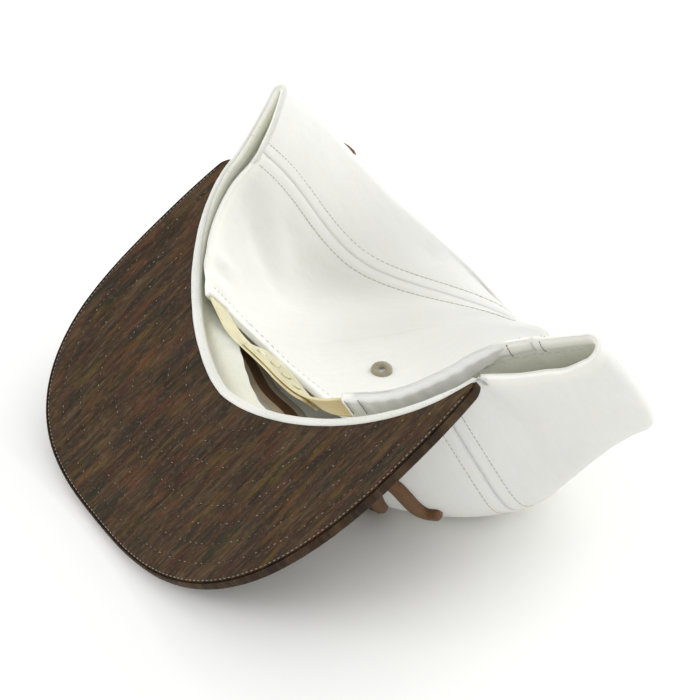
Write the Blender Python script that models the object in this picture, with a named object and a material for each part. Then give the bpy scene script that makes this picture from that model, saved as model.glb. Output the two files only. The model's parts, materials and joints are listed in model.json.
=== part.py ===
"""Snapback cap with a soft four-panel crown and a flat brim, lying on its crown and its brim's front edge.

Every piece is worked out in the cap's own frame (x to the wearer's right, y forward, z towards the
top button) and then laid in the frame of the part, where the cap rests upside down on z = 0.
The back half of the crown is pushed into the front half, so each level of the crown is a crescent.
"""
import math

import bpy
import numpy as np
from mathutils import Matrix, Vector

# Brim, metres and radians
BRIM_HALF_WIDTH = 0.0893
BRIM_REACH = 0.0680
BRIM_WIDEST = 0.034
BRIM_CORNER_INSET = 0.0018
BRIM_OUTLINE_POWER = 2.8
BRIM_BEND = 0.12
BRIM_TOP_THICK = 0.0032
BRIM_UNDER_THICK = 0.0014
BRIM_EDGE_ROUND = 0.0007
BRIM_WRAP = 0.0012
BRIM_UNDER_CLEAR = 0.0008
BRIM_UPPER_CLEAR = 0.0016

# Crown and its rim
JUNCTION_HALF_WIDTH = 0.0843
JUNCTION_DEPTH = 0.0702
CROWN_HEIGHT = 0.101
FOLD_HALF_WIDTH = 0.1022
FOLD_BEHIND = 0.0372
LOOP_RADIUS = 0.0050
LOOP_TURN = math.radians(58)
NEST_SHIFT = 0.0029
NEST_SKEW = 0.16
NEST_SHOULDER = 0.15
FRONT_FLARE = (0.25, 0.40)
NEST_FLARE = (0.10, 0.50)
CLOTH = 0.0013
TOP_RADIUS = 0.0065
TOP_TILT = 0.004

# Arch opening, sweatband and strap
ARCH_MIDDLE = 2.50
ARCH_HALF_SHARE = 0.20
ARCH_HEIGHT = 0.0425
ARCH_POWER = 3.0
SWEATBAND_WIDTH = 0.030
SWEATBAND_THICK = 0.0008
SWEATBAND_START = 0.0012
SWEATBAND_BACK_OFF = 0.003
SWEATBAND_GAP = 0.0005
STRAP_WIDTH = 0.0130
STRAP_THICK = 0.0012
STRAP_RISE = 0.001
STRAP_TUCK = 0.010
STRAP_EASE = (0.62, 0.80)
PEG_COUNT = 5
PEG_PITCH = 0.0085
PEG_RADIUS = 0.0018
PEG_HEIGHT = 0.0026
HOLE_RADIUS = 0.0023

# Trims
BUTTON_RADIUS = 0.0070
BUTTON_HEIGHT = 0.0034
EYELET_RADIUS = 0.0043
EYELET_HOLE_RADIUS = 0.0017
EYELET_HEIGHT = 0.0009
EYELET_PLACE = (2.565, 0.45)
MOTIF_STROKE = 0.0048
MOTIF_RAISE = 0.0030
MOTIF_SEAT = 0.0002
SIDE_MOTIF_HALF = 0.0095
SIDE_MOTIF_RAISE = 0.0009
SIDE_MOTIF_SEAT = 0.0001
SIDE_MOTIF_SLIM = 0.7
SIDE_MOTIF_PLACE = (3.425, 0.295)

# Clearance between touching pieces, and how the cap lies
GAP = 0.0003
LIE_TIP = math.radians(35.1)
LIE_ROLL = math.radians(0.5)
FLOOR_BLEND = 0.0015
SMALL_STEP = 0.002
LEVEL_COUNT = 17
FOLD_DENSITY = 3.0

# Crown levels. Shares of: CROWN_HEIGHT (up), JUNCTION_HALF_WIDTH (wide), JUNCTION_DEPTH (front),
# FOLD_HALF_WIDTH (left, right) and FOLD_BEHIND (back) for the middle of each fold, LOOP_RADIUS
# (loop_left, loop_right) for its turn. bulge is the outline's power. The pushed-in back is nest_out of
# the level's width wide, reaches nest_in of JUNCTION_DEPTH forward, has the power nest_bulge and
# lies nest_dip of CROWN_HEIGHT nearer the rim.
# seam_front, seam_left and seam_right: where the seams cross the arcs, from the middle to the fold.
LEVEL_COLUMNS = ("up", "wide", "front", "bulge", "left", "right", "back", "loop_left", "loop_right",
                 "nest_out", "nest_in", "nest_bulge", "nest_dip", "seam_front", "seam_left", "seam_right")
LEVELS = (
    (0.00, 1.00, 1.00, 1.62, 0.918, 1.060, 0.90, 0.7, 1.2, 0.91, 0.78, 1.75, 0.00, 0.630, 0.780, 0.87),
    (0.21, 1.03, 1.03, 1.80, 0.915, 1.050, 0.96, 0.8, 1.2, 0.90, 0.75, 1.80, 0.00, 0.630, 0.780, 0.86),
    (0.44, 1.06, 0.96, 2.30, 0.900, 1.020, 1.00, 0.9, 1.1, 0.87, 0.60, 2.00, 0.00, 0.630, 0.755, 0.85),
    (0.66, 1.09, 0.72, 3.20, 0.860, 0.960, 1.02, 1.0, 1.0, 0.82, 0.33, 2.40, 0.02, 0.625, 0.710, 0.80),
    (0.80, 1.03, 0.47, 3.20, 0.780, 0.885, 1.03, 1.0, 1.0, 0.76, 0.10, 2.40, 0.06, 0.620, 0.680, 0.74),
    (0.93, 0.56, 0.06, 2.40, 0.500, 0.640, 1.06, 0.9, 0.9, 0.72, -0.25, 2.00, 0.13, 0.610, 0.620, 0.66),
)
TOP_SPOT = (0.13, -1.00)

# Wave of the front embroidery, as places round the crown and levels.
MOTIF_COLUMNS = ("around", "level")
MOTIF = (
    (0.165, 0.335),
    (0.255, 0.205),
    (0.345, 0.335),
    (0.435, 0.205),
    (0.525, 0.335),
    (0.615, 0.205),
    (0.705, 0.335),
    (0.795, 0.205),
    (0.885, 0.335),
)

# Folds and dents: place round the crown in panels (0 to 1 front, 1 to 2 right, 2 to 3 back,
# 3 to 4 left), level from rim to top, half length along the level and round, turn, and depth
# as a share of CLOTH thickness (plus stands out).
FOLD_COLUMNS = ("around", "level", "half_level", "half_around", "turn", "depth")
FOLDS = (
    (2.86, 0.40, 0.15, 0.055, 0.35, -1.5),
    (2.76, 0.42, 0.16, 0.050, 0.30, 1.2),
    (2.66, 0.44, 0.15, 0.050, 0.25, -1.0),
    (1.35, 0.38, 0.12, 0.130, 0.50, -2.4),
    (0.70, 0.42, 0.12, 0.080, -0.40, 1.0),
)

MATERIALS = {
    "cotton": ((0.86, 0.86, 0.82), 0.85),
    "sweat_cloth": ((0.84, 0.85, 0.79), 0.88),
    "wood_print": ((0.075, 0.045, 0.032), 0.80),
    "plastic": ((0.83, 0.76, 0.52), 0.35),
    "khaki_thread": ((0.38, 0.34, 0.24), 0.60),
    "brown_thread": ((0.36, 0.16, 0.06), 0.50),
}


def clear_scene():
    for item in list(bpy.data.objects):
        bpy.data.objects.remove(item, do_unlink=True)


def material(name):
    """A plain Principled material with the piece's colour."""
    found = bpy.data.materials.get(name)
    if found:
        return found
    colour, rough = MATERIALS[name]
    made = bpy.data.materials.new(name)
    made.use_nodes = True
    shader = made.node_tree.nodes["Principled BSDF"]
    shader.inputs["Base Color"].default_value = (*colour, 1.0)
    shader.inputs["Roughness"].default_value = rough
    shader.inputs["Metallic"].default_value = 0.0
    return made


def add_object(name, points, faces, surface):
    """One mesh object from points already in the part's frame."""
    mesh = bpy.data.meshes.new(name)
    mesh.from_pydata([tuple(map(float, point)) for point in points], [], faces)
    mesh.materials.append(material(surface))
    mesh.validate()
    mesh.update()
    mesh.shade_smooth()
    mesh.set_sharp_from_angle(angle=math.radians(40))
    made = bpy.data.objects.new(name, mesh)
    bpy.context.scene.collection.objects.link(made)
    return made


def unit(vectors):
    length = np.linalg.norm(vectors, axis=-1, keepdims=True)
    return vectors / np.maximum(length, 1e-12)


def spline(knots, values, at):
    """Natural cubic spline through values at knots, read at the places in at."""
    knots = np.asarray(knots, float)
    values = np.asarray(values, float)
    count = len(knots)
    step = np.diff(knots)
    shape = (count,) + values.shape[1:]
    right = np.zeros(shape)
    matrix = np.eye(count)
    for row in range(1, count - 1):
        matrix[row, row - 1:row + 2] = (step[row - 1], 2 * (step[row - 1] + step[row]), step[row])
        rise = (values[row + 1] - values[row]) / step[row]
        fall = (values[row] - values[row - 1]) / step[row - 1]
        right[row] = 6 * (rise - fall)
    bend = np.linalg.solve(matrix, right.reshape(count, -1)).reshape(shape)
    at = np.asarray(at, float)
    cell = np.clip(np.searchsorted(knots, at, side="right") - 1, 0, count - 2)
    spread = (1,) * (values.ndim - 1)
    width = step[cell].reshape(-1, *spread)
    before = (at - knots[cell]).reshape(-1, *spread)
    after = width - before
    low, high = values[cell], values[cell + 1]
    bend_low, bend_high = bend[cell], bend[cell + 1]
    return (bend_low * after ** 3 + bend_high * before ** 3) / (6 * width) \
        + (low / width - bend_low * width / 6) * after \
        + (high / width - bend_high * width / 6) * before


def along(curve, shares):
    """Points at shares of a polyline's length."""
    steps = np.linalg.norm(np.diff(curve, axis=0), axis=1)
    run = np.concatenate([[0.0], np.cumsum(steps)])
    places = np.asarray(shares) * run[-1]
    return np.stack([np.interp(places, run, curve[:, axis]) for axis in range(curve.shape[1])], axis=-1)


def length_of(curve):
    return float(np.linalg.norm(np.diff(curve, axis=0), axis=1).sum())


def brim_drop(across):
    """How far the gently bent brim and the rim sewn to it drop at a distance from the middle."""
    within = np.clip(across, -JUNCTION_HALF_WIDTH, JUNCTION_HALF_WIDTH)
    return within ** 2 * BRIM_BEND / (2 * BRIM_HALF_WIDTH)


def fold_middle(level, side):
    """Middle of the turn of the cloth on one side, the turn's radius and its direction."""
    across = level["right" if side > 0 else "left"] * FOLD_HALF_WIDTH
    radius = level["loop_right" if side > 0 else "loop_left"] * LOOP_RADIUS
    middle = np.array([side * across, -level["back"] * FOLD_BEHIND])
    return middle, radius, np.array([side * math.cos(LOOP_TURN), -math.sin(LOOP_TURN)])


def flare(start, end, pull, count):
    """Curve from the straight side of an arc out to the fold."""
    middle = start + (end - start) * pull
    run = np.linspace(0, 1, count)[1:, None]
    return (1 - run) ** 2 * start + 2 * run * (1 - run) * middle + run ** 2 * end


def round_arc(wide, front, bulge, count):
    """Quarter outline from the middle of the front to the side."""
    angle = np.linspace(0, math.pi / 2, count)
    return np.stack([wide * np.sin(angle) ** (2 / bulge), front * np.cos(angle) ** (2 / bulge)], axis=1)


def front_arc(level, side, count=40):
    """Half of a level's front arc, from the middle to the fold on one side."""
    middle, radius, way = fold_middle(level, side)
    arc = round_arc(level["wide"] * JUNCTION_HALF_WIDTH, level["front"] * JUNCTION_DEPTH,
                    level["bulge"], count) * (side, 1)
    end = middle + radius * np.array([-way[1] * side, way[0] * side])
    return np.concatenate([arc, flare(arc[-1], end, FRONT_FLARE, count // 2)])


def nested_arc(level, side, count=40):
    """Half of the pushed-in back's arc, from the fold to the middle on one side."""
    middle, radius, way = fold_middle(level, side)
    wide = level["wide"] * level["nest_out"] * JUNCTION_HALF_WIDTH
    base = min(0.0, level["nest_in"] - NEST_SHOULDER) * JUNCTION_DEPTH
    ahead = level["nest_in"] * JUNCTION_DEPTH - base
    arc = round_arc(wide, ahead, level["nest_bulge"], count) * (side, 1)
    arc[:, 1] *= 1 - NEST_SKEW * arc[:, 0] / wide
    arc[:, 1] += base
    arc[:, 0] += NEST_SHIFT
    end = middle - radius * np.array([-way[1] * side, way[0] * side])
    return np.concatenate([arc, flare(arc[-1], end, NEST_FLARE, count // 2)])[::-1]


def fold_loop(outer, inner, way, count=9):
    """Rounded turn of the cloth from the front arc's end to the nested arc's start."""
    middle = (outer + inner) / 2
    angle = np.linspace(0, math.pi, count)[1:-1, None]
    reach = np.linalg.norm(outer - inner) / 2
    return middle + np.cos(angle) * (outer - middle) + np.sin(angle) * reach * way


def level_loop(level):
    """The closed crescent of a level from the front's middle round to the right, with its run of lengths.

    Also the lengths at which the front's middle, the seams and the back's middle lie.
    """
    halves = {}
    for side, name in ((1, "right"), (-1, "left")):
        outer = front_arc(level, side)
        inner = nested_arc(level, side)
        turn = fold_loop(outer[-1], inner[0], fold_middle(level, side)[2])
        whole = np.concatenate([outer, turn, inner])
        total = length_of(whole)
        front_cut = level["seam_front"] * length_of(outer)
        back_cut = total - level["seam_" + name] * length_of(inner)
        halves[name] = (whole, total, front_cut, back_cut)
    right, right_total, right_front, right_back = halves["right"]
    left, left_total, left_front, left_back = halves["left"]
    loop = np.concatenate([right, left[::-1][1:]])
    run = np.concatenate([[0.0], np.cumsum(np.linalg.norm(np.diff(loop, axis=0), axis=1))])
    whole_total = right_total + left_total
    marks = (0.0, right_front, right_back, right_total, whole_total - left_back,
             whole_total - left_front, whole_total)
    return loop, run, marks


MARK_PLACES = (0.5, 1.0, 2.0, 2.5, 3.0, 4.0, 4.5)


def panel_run(ring, around):
    """Plan points of one level at places round the crown, in panels."""
    loop, run, marks = ring
    places = (np.asarray(around, float) - 0.5) % 4 + 0.5
    lengths = np.interp(places, MARK_PLACES, marks)
    return np.stack([np.interp(lengths, run, loop[:, axis]) for axis in (0, 1)], axis=-1)


def level_rows():
    return [dict(zip(LEVEL_COLUMNS, row)) for row in LEVELS]


def level_places():
    """Share of the way from rim to top at each level, measured along the fold."""
    spots = [(row["right"] * FOLD_HALF_WIDTH, row["up"] * CROWN_HEIGHT) for row in level_rows()]
    spots.append((TOP_SPOT[0] * FOLD_HALF_WIDTH, CROWN_HEIGHT))
    run = np.concatenate([[0.0], np.cumsum(np.linalg.norm(np.diff(np.array(spots), axis=0), axis=1))])
    return run / run[-1], float(run[-1])


PLACES, MERIDIAN = level_places()
LOOPS = [level_loop(row) for row in level_rows()]


def nest_share(around):
    """How far a place is into the pushed-in back, from 0 at the folds and the front to 1 in its middle."""
    into = np.clip(1 - np.abs(np.asarray(around, float) % 4 - 2.5), 0, 1)
    return into * into * (3 - 2 * into)


def top_ring(around):
    """Small ring round the top where the panels end under the button."""
    turn = (0.5 - np.asarray(around, float)) * math.pi / 2 + math.pi / 2
    ring = np.stack([np.cos(turn), np.sin(turn), np.zeros_like(turn)], axis=1) * TOP_RADIUS
    ring[:, 2] -= TOP_TILT * nest_share(around)
    return ring + (TOP_SPOT[0] * FOLD_HALF_WIDTH, TOP_SPOT[1] * FOLD_BEHIND, CROWN_HEIGHT)


def crown_shape(around, levels):
    """Grid of outer surface points in the cap's frame: rows are levels, columns go round."""
    around = np.asarray(around, float)
    rings = []
    for row, ring in zip(level_rows(), LOOPS):
        plan = panel_run(ring, around)
        height = row["up"] * CROWN_HEIGHT - brim_drop(plan[:, 0]) * (1 - row["up"]) ** 2
        height -= row["nest_dip"] * CROWN_HEIGHT * nest_share(around)
        rings.append(np.column_stack([plan, height]))
    rings.append(top_ring(around))
    return spline(PLACES, np.array(rings), levels)


def lay_turn():
    """Turn from the cap's frame to the part's: upside down, tipped on its brim, rolled to the right."""
    upside_down = Matrix(((1, 0, 0), (0, -1, 0), (0, 0, -1)))
    tip = Matrix.Rotation(LIE_TIP, 3, "X")
    roll = Matrix.Rotation(LIE_ROLL, 3, "Y")
    return np.array(roll @ tip @ upside_down)


TURN = lay_turn()


def turned(points):
    return np.asarray(points) @ TURN.T


def outline_share(count):
    """Shares along the brim from the left corner to the right one, closer together at the corners."""
    angle = np.linspace(-math.pi / 2, math.pi / 2, count)
    return np.sin(angle)


def brim_outer(shares, inset):
    """Outer edge of the brim in plan, inset evenly."""
    wide = BRIM_HALF_WIDTH - inset
    reach = JUNCTION_DEPTH + BRIM_REACH - inset - BRIM_WIDEST
    angle = np.linspace(0, math.pi / 2, 60)
    power = 2 / BRIM_OUTLINE_POWER
    ahead = np.stack([wide * np.sin(angle) ** power, BRIM_WIDEST + reach * np.cos(angle) ** power], axis=1)
    drop = np.linspace(0, 1, 20)[1:]
    side = np.stack([wide - BRIM_CORNER_INSET * drop ** 2, BRIM_WIDEST * (1 - drop)], axis=1)
    half = np.concatenate([ahead, side])
    whole = np.concatenate([half[::-1] * (-1, 1), half[1:]])
    return along(whole, (np.asarray(shares) + 1) / 2)


def brim_inner(shares, clearance):
    """Inner edge of the brim in plan, just outside the rim of the crown."""
    rim = level_rows()[0]
    half = front_arc(rim, 1)
    half = half[half[:, 1] >= -1e-9]
    whole = np.concatenate([half[::-1] * (-1, 1), half[1:]])
    spots = along(whole, (np.asarray(shares) + 1) / 2)
    tangent = np.gradient(spots, axis=0)
    outward = unit(np.stack([-tangent[:, 1], tangent[:, 0]], axis=1))
    return spots + outward * clearance


def slab(name, low, high, surface, place):
    """Closed solid between two grids of points with the same rows and columns."""
    rows, columns = low.shape[:2]
    points = np.concatenate([low.reshape(-1, 3), high.reshape(-1, 3)])
    lift = rows * columns

    def at(row, column, top):
        return row * columns + column + (lift if top else 0)

    faces = []
    for row in range(rows - 1):
        for column in range(columns - 1):
            ring = [(row, column), (row, column + 1), (row + 1, column + 1), (row + 1, column)]
            faces.append([at(r, c, True) for r, c in ring])
            faces.append([at(r, c, False) for r, c in reversed(ring)])
    border = [(0, c) for c in range(columns)] + [(r, columns - 1) for r in range(1, rows)]
    border += [(rows - 1, c) for c in range(columns - 2, -1, -1)] + [(r, 0) for r in range(rows - 2, 0, -1)]
    for (r0, c0), (r1, c1) in zip(border, border[1:] + border[:1]):
        faces.append([at(r0, c0, False), at(r1, c1, False), at(r1, c1, True), at(r0, c0, True)])
    return add_object(name, place(points), faces, surface)


def brim_surface(plan, height):
    """Points of the gently bent brim over a plan, at a height above its underside."""
    across = plan[..., 0]
    slope = across * BRIM_BEND / BRIM_HALF_WIDTH
    tilt = np.sqrt(1 + slope ** 2)
    return np.stack([across + height * slope / tilt, plan[..., 1], height / tilt - brim_drop(across)], axis=-1)


def brim_grid(columns, rows, outer_inset, inner_clearance):
    shares = outline_share(columns)
    outer = brim_outer(shares, outer_inset)
    inner = brim_inner(shares, inner_clearance)
    blend = np.linspace(0, 1, rows)[:, None, None]
    return inner[None] * (1 - blend) + outer[None] * blend


def brim_floor():
    """Height of the lowest point of the brim once the cap is turned."""
    rim = brim_outer(np.linspace(-1, 1, 400), BRIM_EDGE_ROUND)
    edge = brim_surface(rim, BRIM_UNDER_THICK + GAP + BRIM_TOP_THICK)
    return float(turned(edge)[:, 2].min())


LIFT = -brim_floor()


def place_stiff(points):
    """Lay stiff pieces: turned, with the brim's front edge on the floor."""
    laid = turned(points)
    laid[..., 2] += LIFT
    return laid


def place_cloth(points):
    """Lay cloth, which flattens where it meets the floor."""
    laid = place_stiff(points)
    height = laid[..., 2]
    blend = np.clip(height + FLOOR_BLEND, 0, 2 * FLOOR_BLEND)
    laid[..., 2] = np.where(height > FLOOR_BLEND, height, blend ** 2 / (4 * FLOOR_BLEND))
    return laid


def fold_depth(around, levels):
    """Outward shift of the crown's cloth from its folds and dents."""
    columns, rows = np.meshgrid(around, levels)
    shift = np.zeros_like(columns)
    for row in FOLDS:
        fold = dict(zip(FOLD_COLUMNS, row))
        along_level = (rows - fold["level"]) / fold["half_level"]
        beside = (columns - fold["around"] + 2) % 4 - 2
        round_crown = (beside - fold["turn"] * (rows - fold["level"])) / fold["half_around"]
        shift += fold["depth"] * CLOTH * np.exp(-along_level ** 2 - round_crown ** 2)
    return shift


def facing(surface, around, levels):
    """Outward unit normals of a surface given as a function of places and levels."""
    round_step = surface(around + SMALL_STEP, levels) - surface(around - SMALL_STEP, levels)
    up_step = surface(around, levels + SMALL_STEP) - surface(around, levels - SMALL_STEP)
    return unit(np.cross(up_step, round_step))


def puckered_shape(around, levels):
    """Crown surface with its folds and dents, in the cap's frame."""
    return crown_shape(around, levels) \
        + facing(crown_shape, around, levels) * fold_depth(around, levels)[..., None]


def laid_shape(around, levels):
    return place_cloth(puckered_shape(around, levels))


def crown_surface(around, levels):
    """Outer surface of the laid crown and its outward normals."""
    around = np.asarray(around, float)
    levels = np.asarray(levels, float)
    return laid_shape(around, levels), facing(laid_shape, around, levels)


def crown_wall(name, around, levels, depth, thick, surface, edge_inset):
    """Closed cloth solid along the crown, from a depth under its outer surface to depth plus thick."""
    grid, normal = crown_surface(around, levels)
    for edge, inner in ((0, 1), (-1, -2)):
        grid[:, edge] += unit(grid[:, inner] - grid[:, edge]) * edge_inset
    return slab(name, grid - normal * depth, grid - normal * (depth + thick), surface, lambda p: p)


def spread(start, end, count):
    return np.linspace(start, end, count)


PANEL_LEVELS = spread(0.0, 1.0, LEVEL_COUNT)


def side_columns(side, count):
    """Places across a side panel, closer together where the cloth turns at the fold."""
    rim = level_rows()[0]
    outer = front_arc(rim, side)
    inner = nested_arc(rim, side)
    turn = length_of(fold_loop(outer[-1], inner[0], fold_middle(rim, side)[2]))
    front_part = (1 - rim["seam_front"]) * length_of(outer)
    back_part = (1 - rim["seam_right" if side > 0 else "seam_left"]) * length_of(inner)
    total = front_part + turn + back_part
    heart = (front_part + turn / 2) / total
    reach = turn / total
    fine = spread(0, 1, 400)
    density = 1 + FOLD_DENSITY * np.exp(-((fine - heart) / reach) ** 2)
    run = np.concatenate([[0.0], np.cumsum(density[1:])])
    shares = np.interp(spread(0, 1, count), run / run[-1], fine)
    return 1 + shares if side > 0 else 4 - shares[::-1]


def arch_rise(around):
    """Level of the arch's edge at a place across the back panel."""
    across = (around - ARCH_MIDDLE) / ARCH_HALF_SHARE
    inside = np.clip(1 - np.abs(across) ** ARCH_POWER, 0, None)
    return ARCH_HEIGHT / MERIDIAN * inside ** (1 / ARCH_POWER)


def back_columns():
    """Places across the back panel, with the arch's sides among them."""
    left_part = spread(2, ARCH_MIDDLE - ARCH_HALF_SHARE, 10)[:-1]
    right_part = spread(ARCH_MIDDLE + ARCH_HALF_SHARE, 3, 10)[1:]
    angle = np.linspace(math.pi, 0, 13)
    return np.concatenate([left_part, ARCH_MIDDLE + ARCH_HALF_SHARE * np.cos(angle), right_part])


FRONT_COLUMNS = spread(0, 1, 16)
RIGHT_COLUMNS = side_columns(1, 19)
LEFT_COLUMNS = side_columns(-1, 21)
BACK_COLUMNS = back_columns()


def make_panels():
    columns = {"crown_front": FRONT_COLUMNS, "crown_right": RIGHT_COLUMNS, "crown_left": LEFT_COLUMNS}
    for name, around in columns.items():
        crown_wall(name, around, PANEL_LEVELS, 0.0, CLOTH, "cotton", GAP)


def make_back():
    """Back panel: its lower edge rises over the arch opening."""
    surface, normal = [], []
    for place, low in zip(BACK_COLUMNS, arch_rise(BACK_COLUMNS)):
        column, way = crown_surface(np.array([place]), spread(low, 1.0, LEVEL_COUNT))
        surface.append(column[:, 0])
        normal.append(way[:, 0])
    surface = np.stack(surface, axis=1)
    normal = np.stack(normal, axis=1)
    for edge, inner in ((0, 1), (-1, -2)):
        surface[:, edge] += unit(surface[:, inner] - surface[:, edge]) * GAP
    back = slab("crown_back", surface, surface - normal * CLOTH, "cotton", lambda p: p)
    centre, axis, _, _ = surface_point(*EYELET_PLACE)
    through = 4 * CLOTH
    profile = ((0, -1), (1, -1), (1, 1), (0, 1))
    boolean(back, turned_disc("eyelet_cut", centre, axis, EYELET_HOLE_RADIUS, through, "cotton", profile, 12),
            "DIFFERENCE")


def arch_reach(metres):
    """Share of the back panel's rim taken by a length."""
    rim, _ = crown_surface(2 + spread(0, 1, 60), np.array([0.0, 0.01]))
    return metres / length_of(rim[0])


def make_sweatband():
    """Cloth strip inside the rim, from one side of the arch round the front to the other."""
    clear = ARCH_HALF_SHARE + arch_reach(STRAP_TUCK + SWEATBAND_BACK_OFF)
    start = ARCH_MIDDLE + clear
    end = ARCH_MIDDLE - clear + 4
    whole = np.concatenate([BACK_COLUMNS, LEFT_COLUMNS[1:], FRONT_COLUMNS[1:] + 4, RIGHT_COLUMNS[1:] + 4,
                            BACK_COLUMNS[1:] + 4])
    around = np.concatenate([[start], whole[(whole > start) & (whole < end)], [end]])
    low, high = SWEATBAND_START / MERIDIAN, SWEATBAND_WIDTH / MERIDIAN
    levels = np.concatenate([[low], PANEL_LEVELS[(PANEL_LEVELS > low) & (PANEL_LEVELS < high)], [high]])
    crown_wall("sweatband", around, levels, CLOTH + SWEATBAND_GAP, SWEATBAND_THICK, "sweat_cloth", 0.0)


def make_brim():
    """Under cover and upper cover, whose wrapped edge meets the under cover in the edge seam."""
    columns, rows = 61, 4
    under = brim_grid(columns, rows, BRIM_WRAP, BRIM_UNDER_CLEAR)
    slab("brim_underside", brim_surface(under, 0.0), brim_surface(under, BRIM_UNDER_THICK),
         "wood_print", place_stiff)
    upper = brim_grid(columns, rows, 0.0, BRIM_UPPER_CLEAR)
    rounded = brim_grid(columns, rows, BRIM_EDGE_ROUND, BRIM_UPPER_CLEAR)
    base = BRIM_UNDER_THICK + GAP
    slab("brim_top", brim_surface(upper, base), brim_surface(rounded, base + BRIM_TOP_THICK),
         "wood_print", place_stiff)


def strap_frame(around):
    """Middle line of the strap across the arch, its upward and outward directions."""
    middle = (STRAP_RISE + 0.5 * STRAP_WIDTH) / MERIDIAN
    step = 0.25 * STRAP_WIDTH / MERIDIAN
    grid, normal = crown_surface(np.asarray(around), np.array([middle - step, middle, middle + step]))
    upward = unit(grid[2] - grid[0])
    return grid[1], upward, unit(np.cross(upward, np.cross(normal[1], upward)))


def strap_half(name, start, end, depth_from, depth_to, bend):
    """Strip of the strap between two places, its depth under the crown's surface easing over bend."""
    around = spread(start, end, 34)
    middle, upward, normal = strap_frame(around)
    share = np.clip((np.linspace(0, 1, len(around)) - bend[0]) / (bend[1] - bend[0]), 0, 1)
    ease = share * share * (3 - 2 * share)
    depth = (depth_from + (depth_to - depth_from) * ease)[:, None]
    across = np.array([-0.5, 0.5])[:, None, None] * STRAP_WIDTH
    sheet = middle[None] + upward[None] * across
    return slab(name, sheet - normal[None] * depth, sheet - normal[None] * (depth + STRAP_THICK),
                "plastic", lambda p: p)


def peg_places(count):
    """Places of the pegs across the arch, evenly pitched."""
    return ARCH_MIDDLE + (np.arange(count) - (count - 1) / 2) * arch_reach(PEG_PITCH)


def turned_disc(name, centre, axis, radius, height, surface, profile, sides=16):
    """Closed turned solid on a centre, its profile as shares of radius and height."""
    axis = unit(np.asarray(axis))
    side = unit(np.cross(axis, [0.31, 0.95, 0.05]))
    other = np.cross(axis, side)
    angle = np.linspace(0, 2 * math.pi, sides, endpoint=False)
    ring = np.cos(angle)[:, None] * side + np.sin(angle)[:, None] * other
    points = [centre + axis * profile[0][1] * height]
    for share, rise in profile[1:-1]:
        points.extend(centre + ring * share * radius + axis * rise * height)
    points.append(centre + axis * profile[-1][1] * height)
    faces = []
    rings = len(profile) - 2
    last = len(points) - 1
    for index in range(sides):
        following = (index + 1) % sides
        faces.append([0, 1 + following, 1 + index])
        for level in range(rings - 1):
            base = 1 + level * sides
            faces.append([base + index, base + following, base + sides + following, base + sides + index])
        base = 1 + (rings - 1) * sides
        faces.append([base + index, base + following, last])
    return add_object(name, np.array(points), faces, surface)


def boolean(target, cutter, operation):
    modifier = target.modifiers.new(cutter.name, "BOOLEAN")
    modifier.operation = operation
    modifier.solver = "EXACT"
    modifier.object = cutter
    cutter.hide_render = True
    cutter.display_type = "WIRE"


def join_discs(name, discs):
    """Several separate closed discs in one helper mesh."""
    meshes = []
    points, faces = [], []
    for disc in discs:
        start = len(points)
        points.extend(tuple(vertex.co) for vertex in disc.data.vertices)
        faces.extend([start + index for index in polygon.vertices] for polygon in disc.data.polygons)
        meshes.append(disc)
    for disc in meshes:
        bpy.data.objects.remove(disc, do_unlink=True)
    return add_object(name, np.array(points), faces, "plastic")


def make_strap():
    """Peg half inside, hole half outside it, both tucked behind the cloth at the sides of the arch."""
    tuck = arch_reach(STRAP_TUCK)
    outer_depth = CLOTH + GAP
    inner_depth = outer_depth + STRAP_THICK + GAP
    overlap = arch_reach(PEG_PITCH) * (PEG_COUNT / 2 + 0.2)
    peg_half = strap_half("strap_peg_half", ARCH_MIDDLE - overlap, ARCH_MIDDLE + ARCH_HALF_SHARE + tuck,
                          inner_depth, outer_depth, STRAP_EASE)
    hole_half = strap_half("strap_hole_half", ARCH_MIDDLE - ARCH_HALF_SHARE - tuck, ARCH_MIDDLE + overlap,
                           outer_depth, outer_depth, STRAP_EASE)
    places = peg_places(PEG_COUNT)
    middle, _, normal = strap_frame(places)
    pegs, holes = [], []
    peg_profile = ((0, 0), (1, 0), (1, 0.75), (0.75, 1), (0, 1))
    hole_profile = ((0, -1), (1, -1), (1, 1), (0, 1))
    for index, (centre, way) in enumerate(zip(middle, normal)):
        foot = centre - way * (inner_depth + STRAP_THICK / 2)
        pegs.append(turned_disc(f"peg_{index}", foot, way, PEG_RADIUS, STRAP_THICK / 2 + PEG_HEIGHT,
                                "plastic", peg_profile, 12))
        heart = centre - way * (outer_depth + STRAP_THICK / 2)
        holes.append(turned_disc(f"hole_{index}", heart, way, HOLE_RADIUS, STRAP_THICK,
                                 "plastic", hole_profile, 16))
    boolean(peg_half, join_discs("strap_pegs", pegs), "UNION")
    boolean(hole_half, join_discs("strap_holes", holes), "DIFFERENCE")


def make_button():
    ring, normal = crown_surface(spread(0, 4, 33)[:-1], np.array([0.99, 1.0]))
    centre = ring[1].mean(axis=0)
    axis = unit(normal[1].mean(axis=0))
    reach = (ring[1] - centre) @ axis
    base = centre + axis * (reach.max() + GAP)
    profile = ((0, 0), (0.80, 0), (1.0, 0.25), (0.92, 0.60), (0.60, 0.90), (0, 1))
    turned_disc("top_button", base, axis, BUTTON_RADIUS, BUTTON_HEIGHT, "cotton", profile, 20)


def seat_height(centre, axis, spots):
    """How far along an axis the highest of some surface points lies."""
    return float(((spots - centre) @ axis).max())


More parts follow.
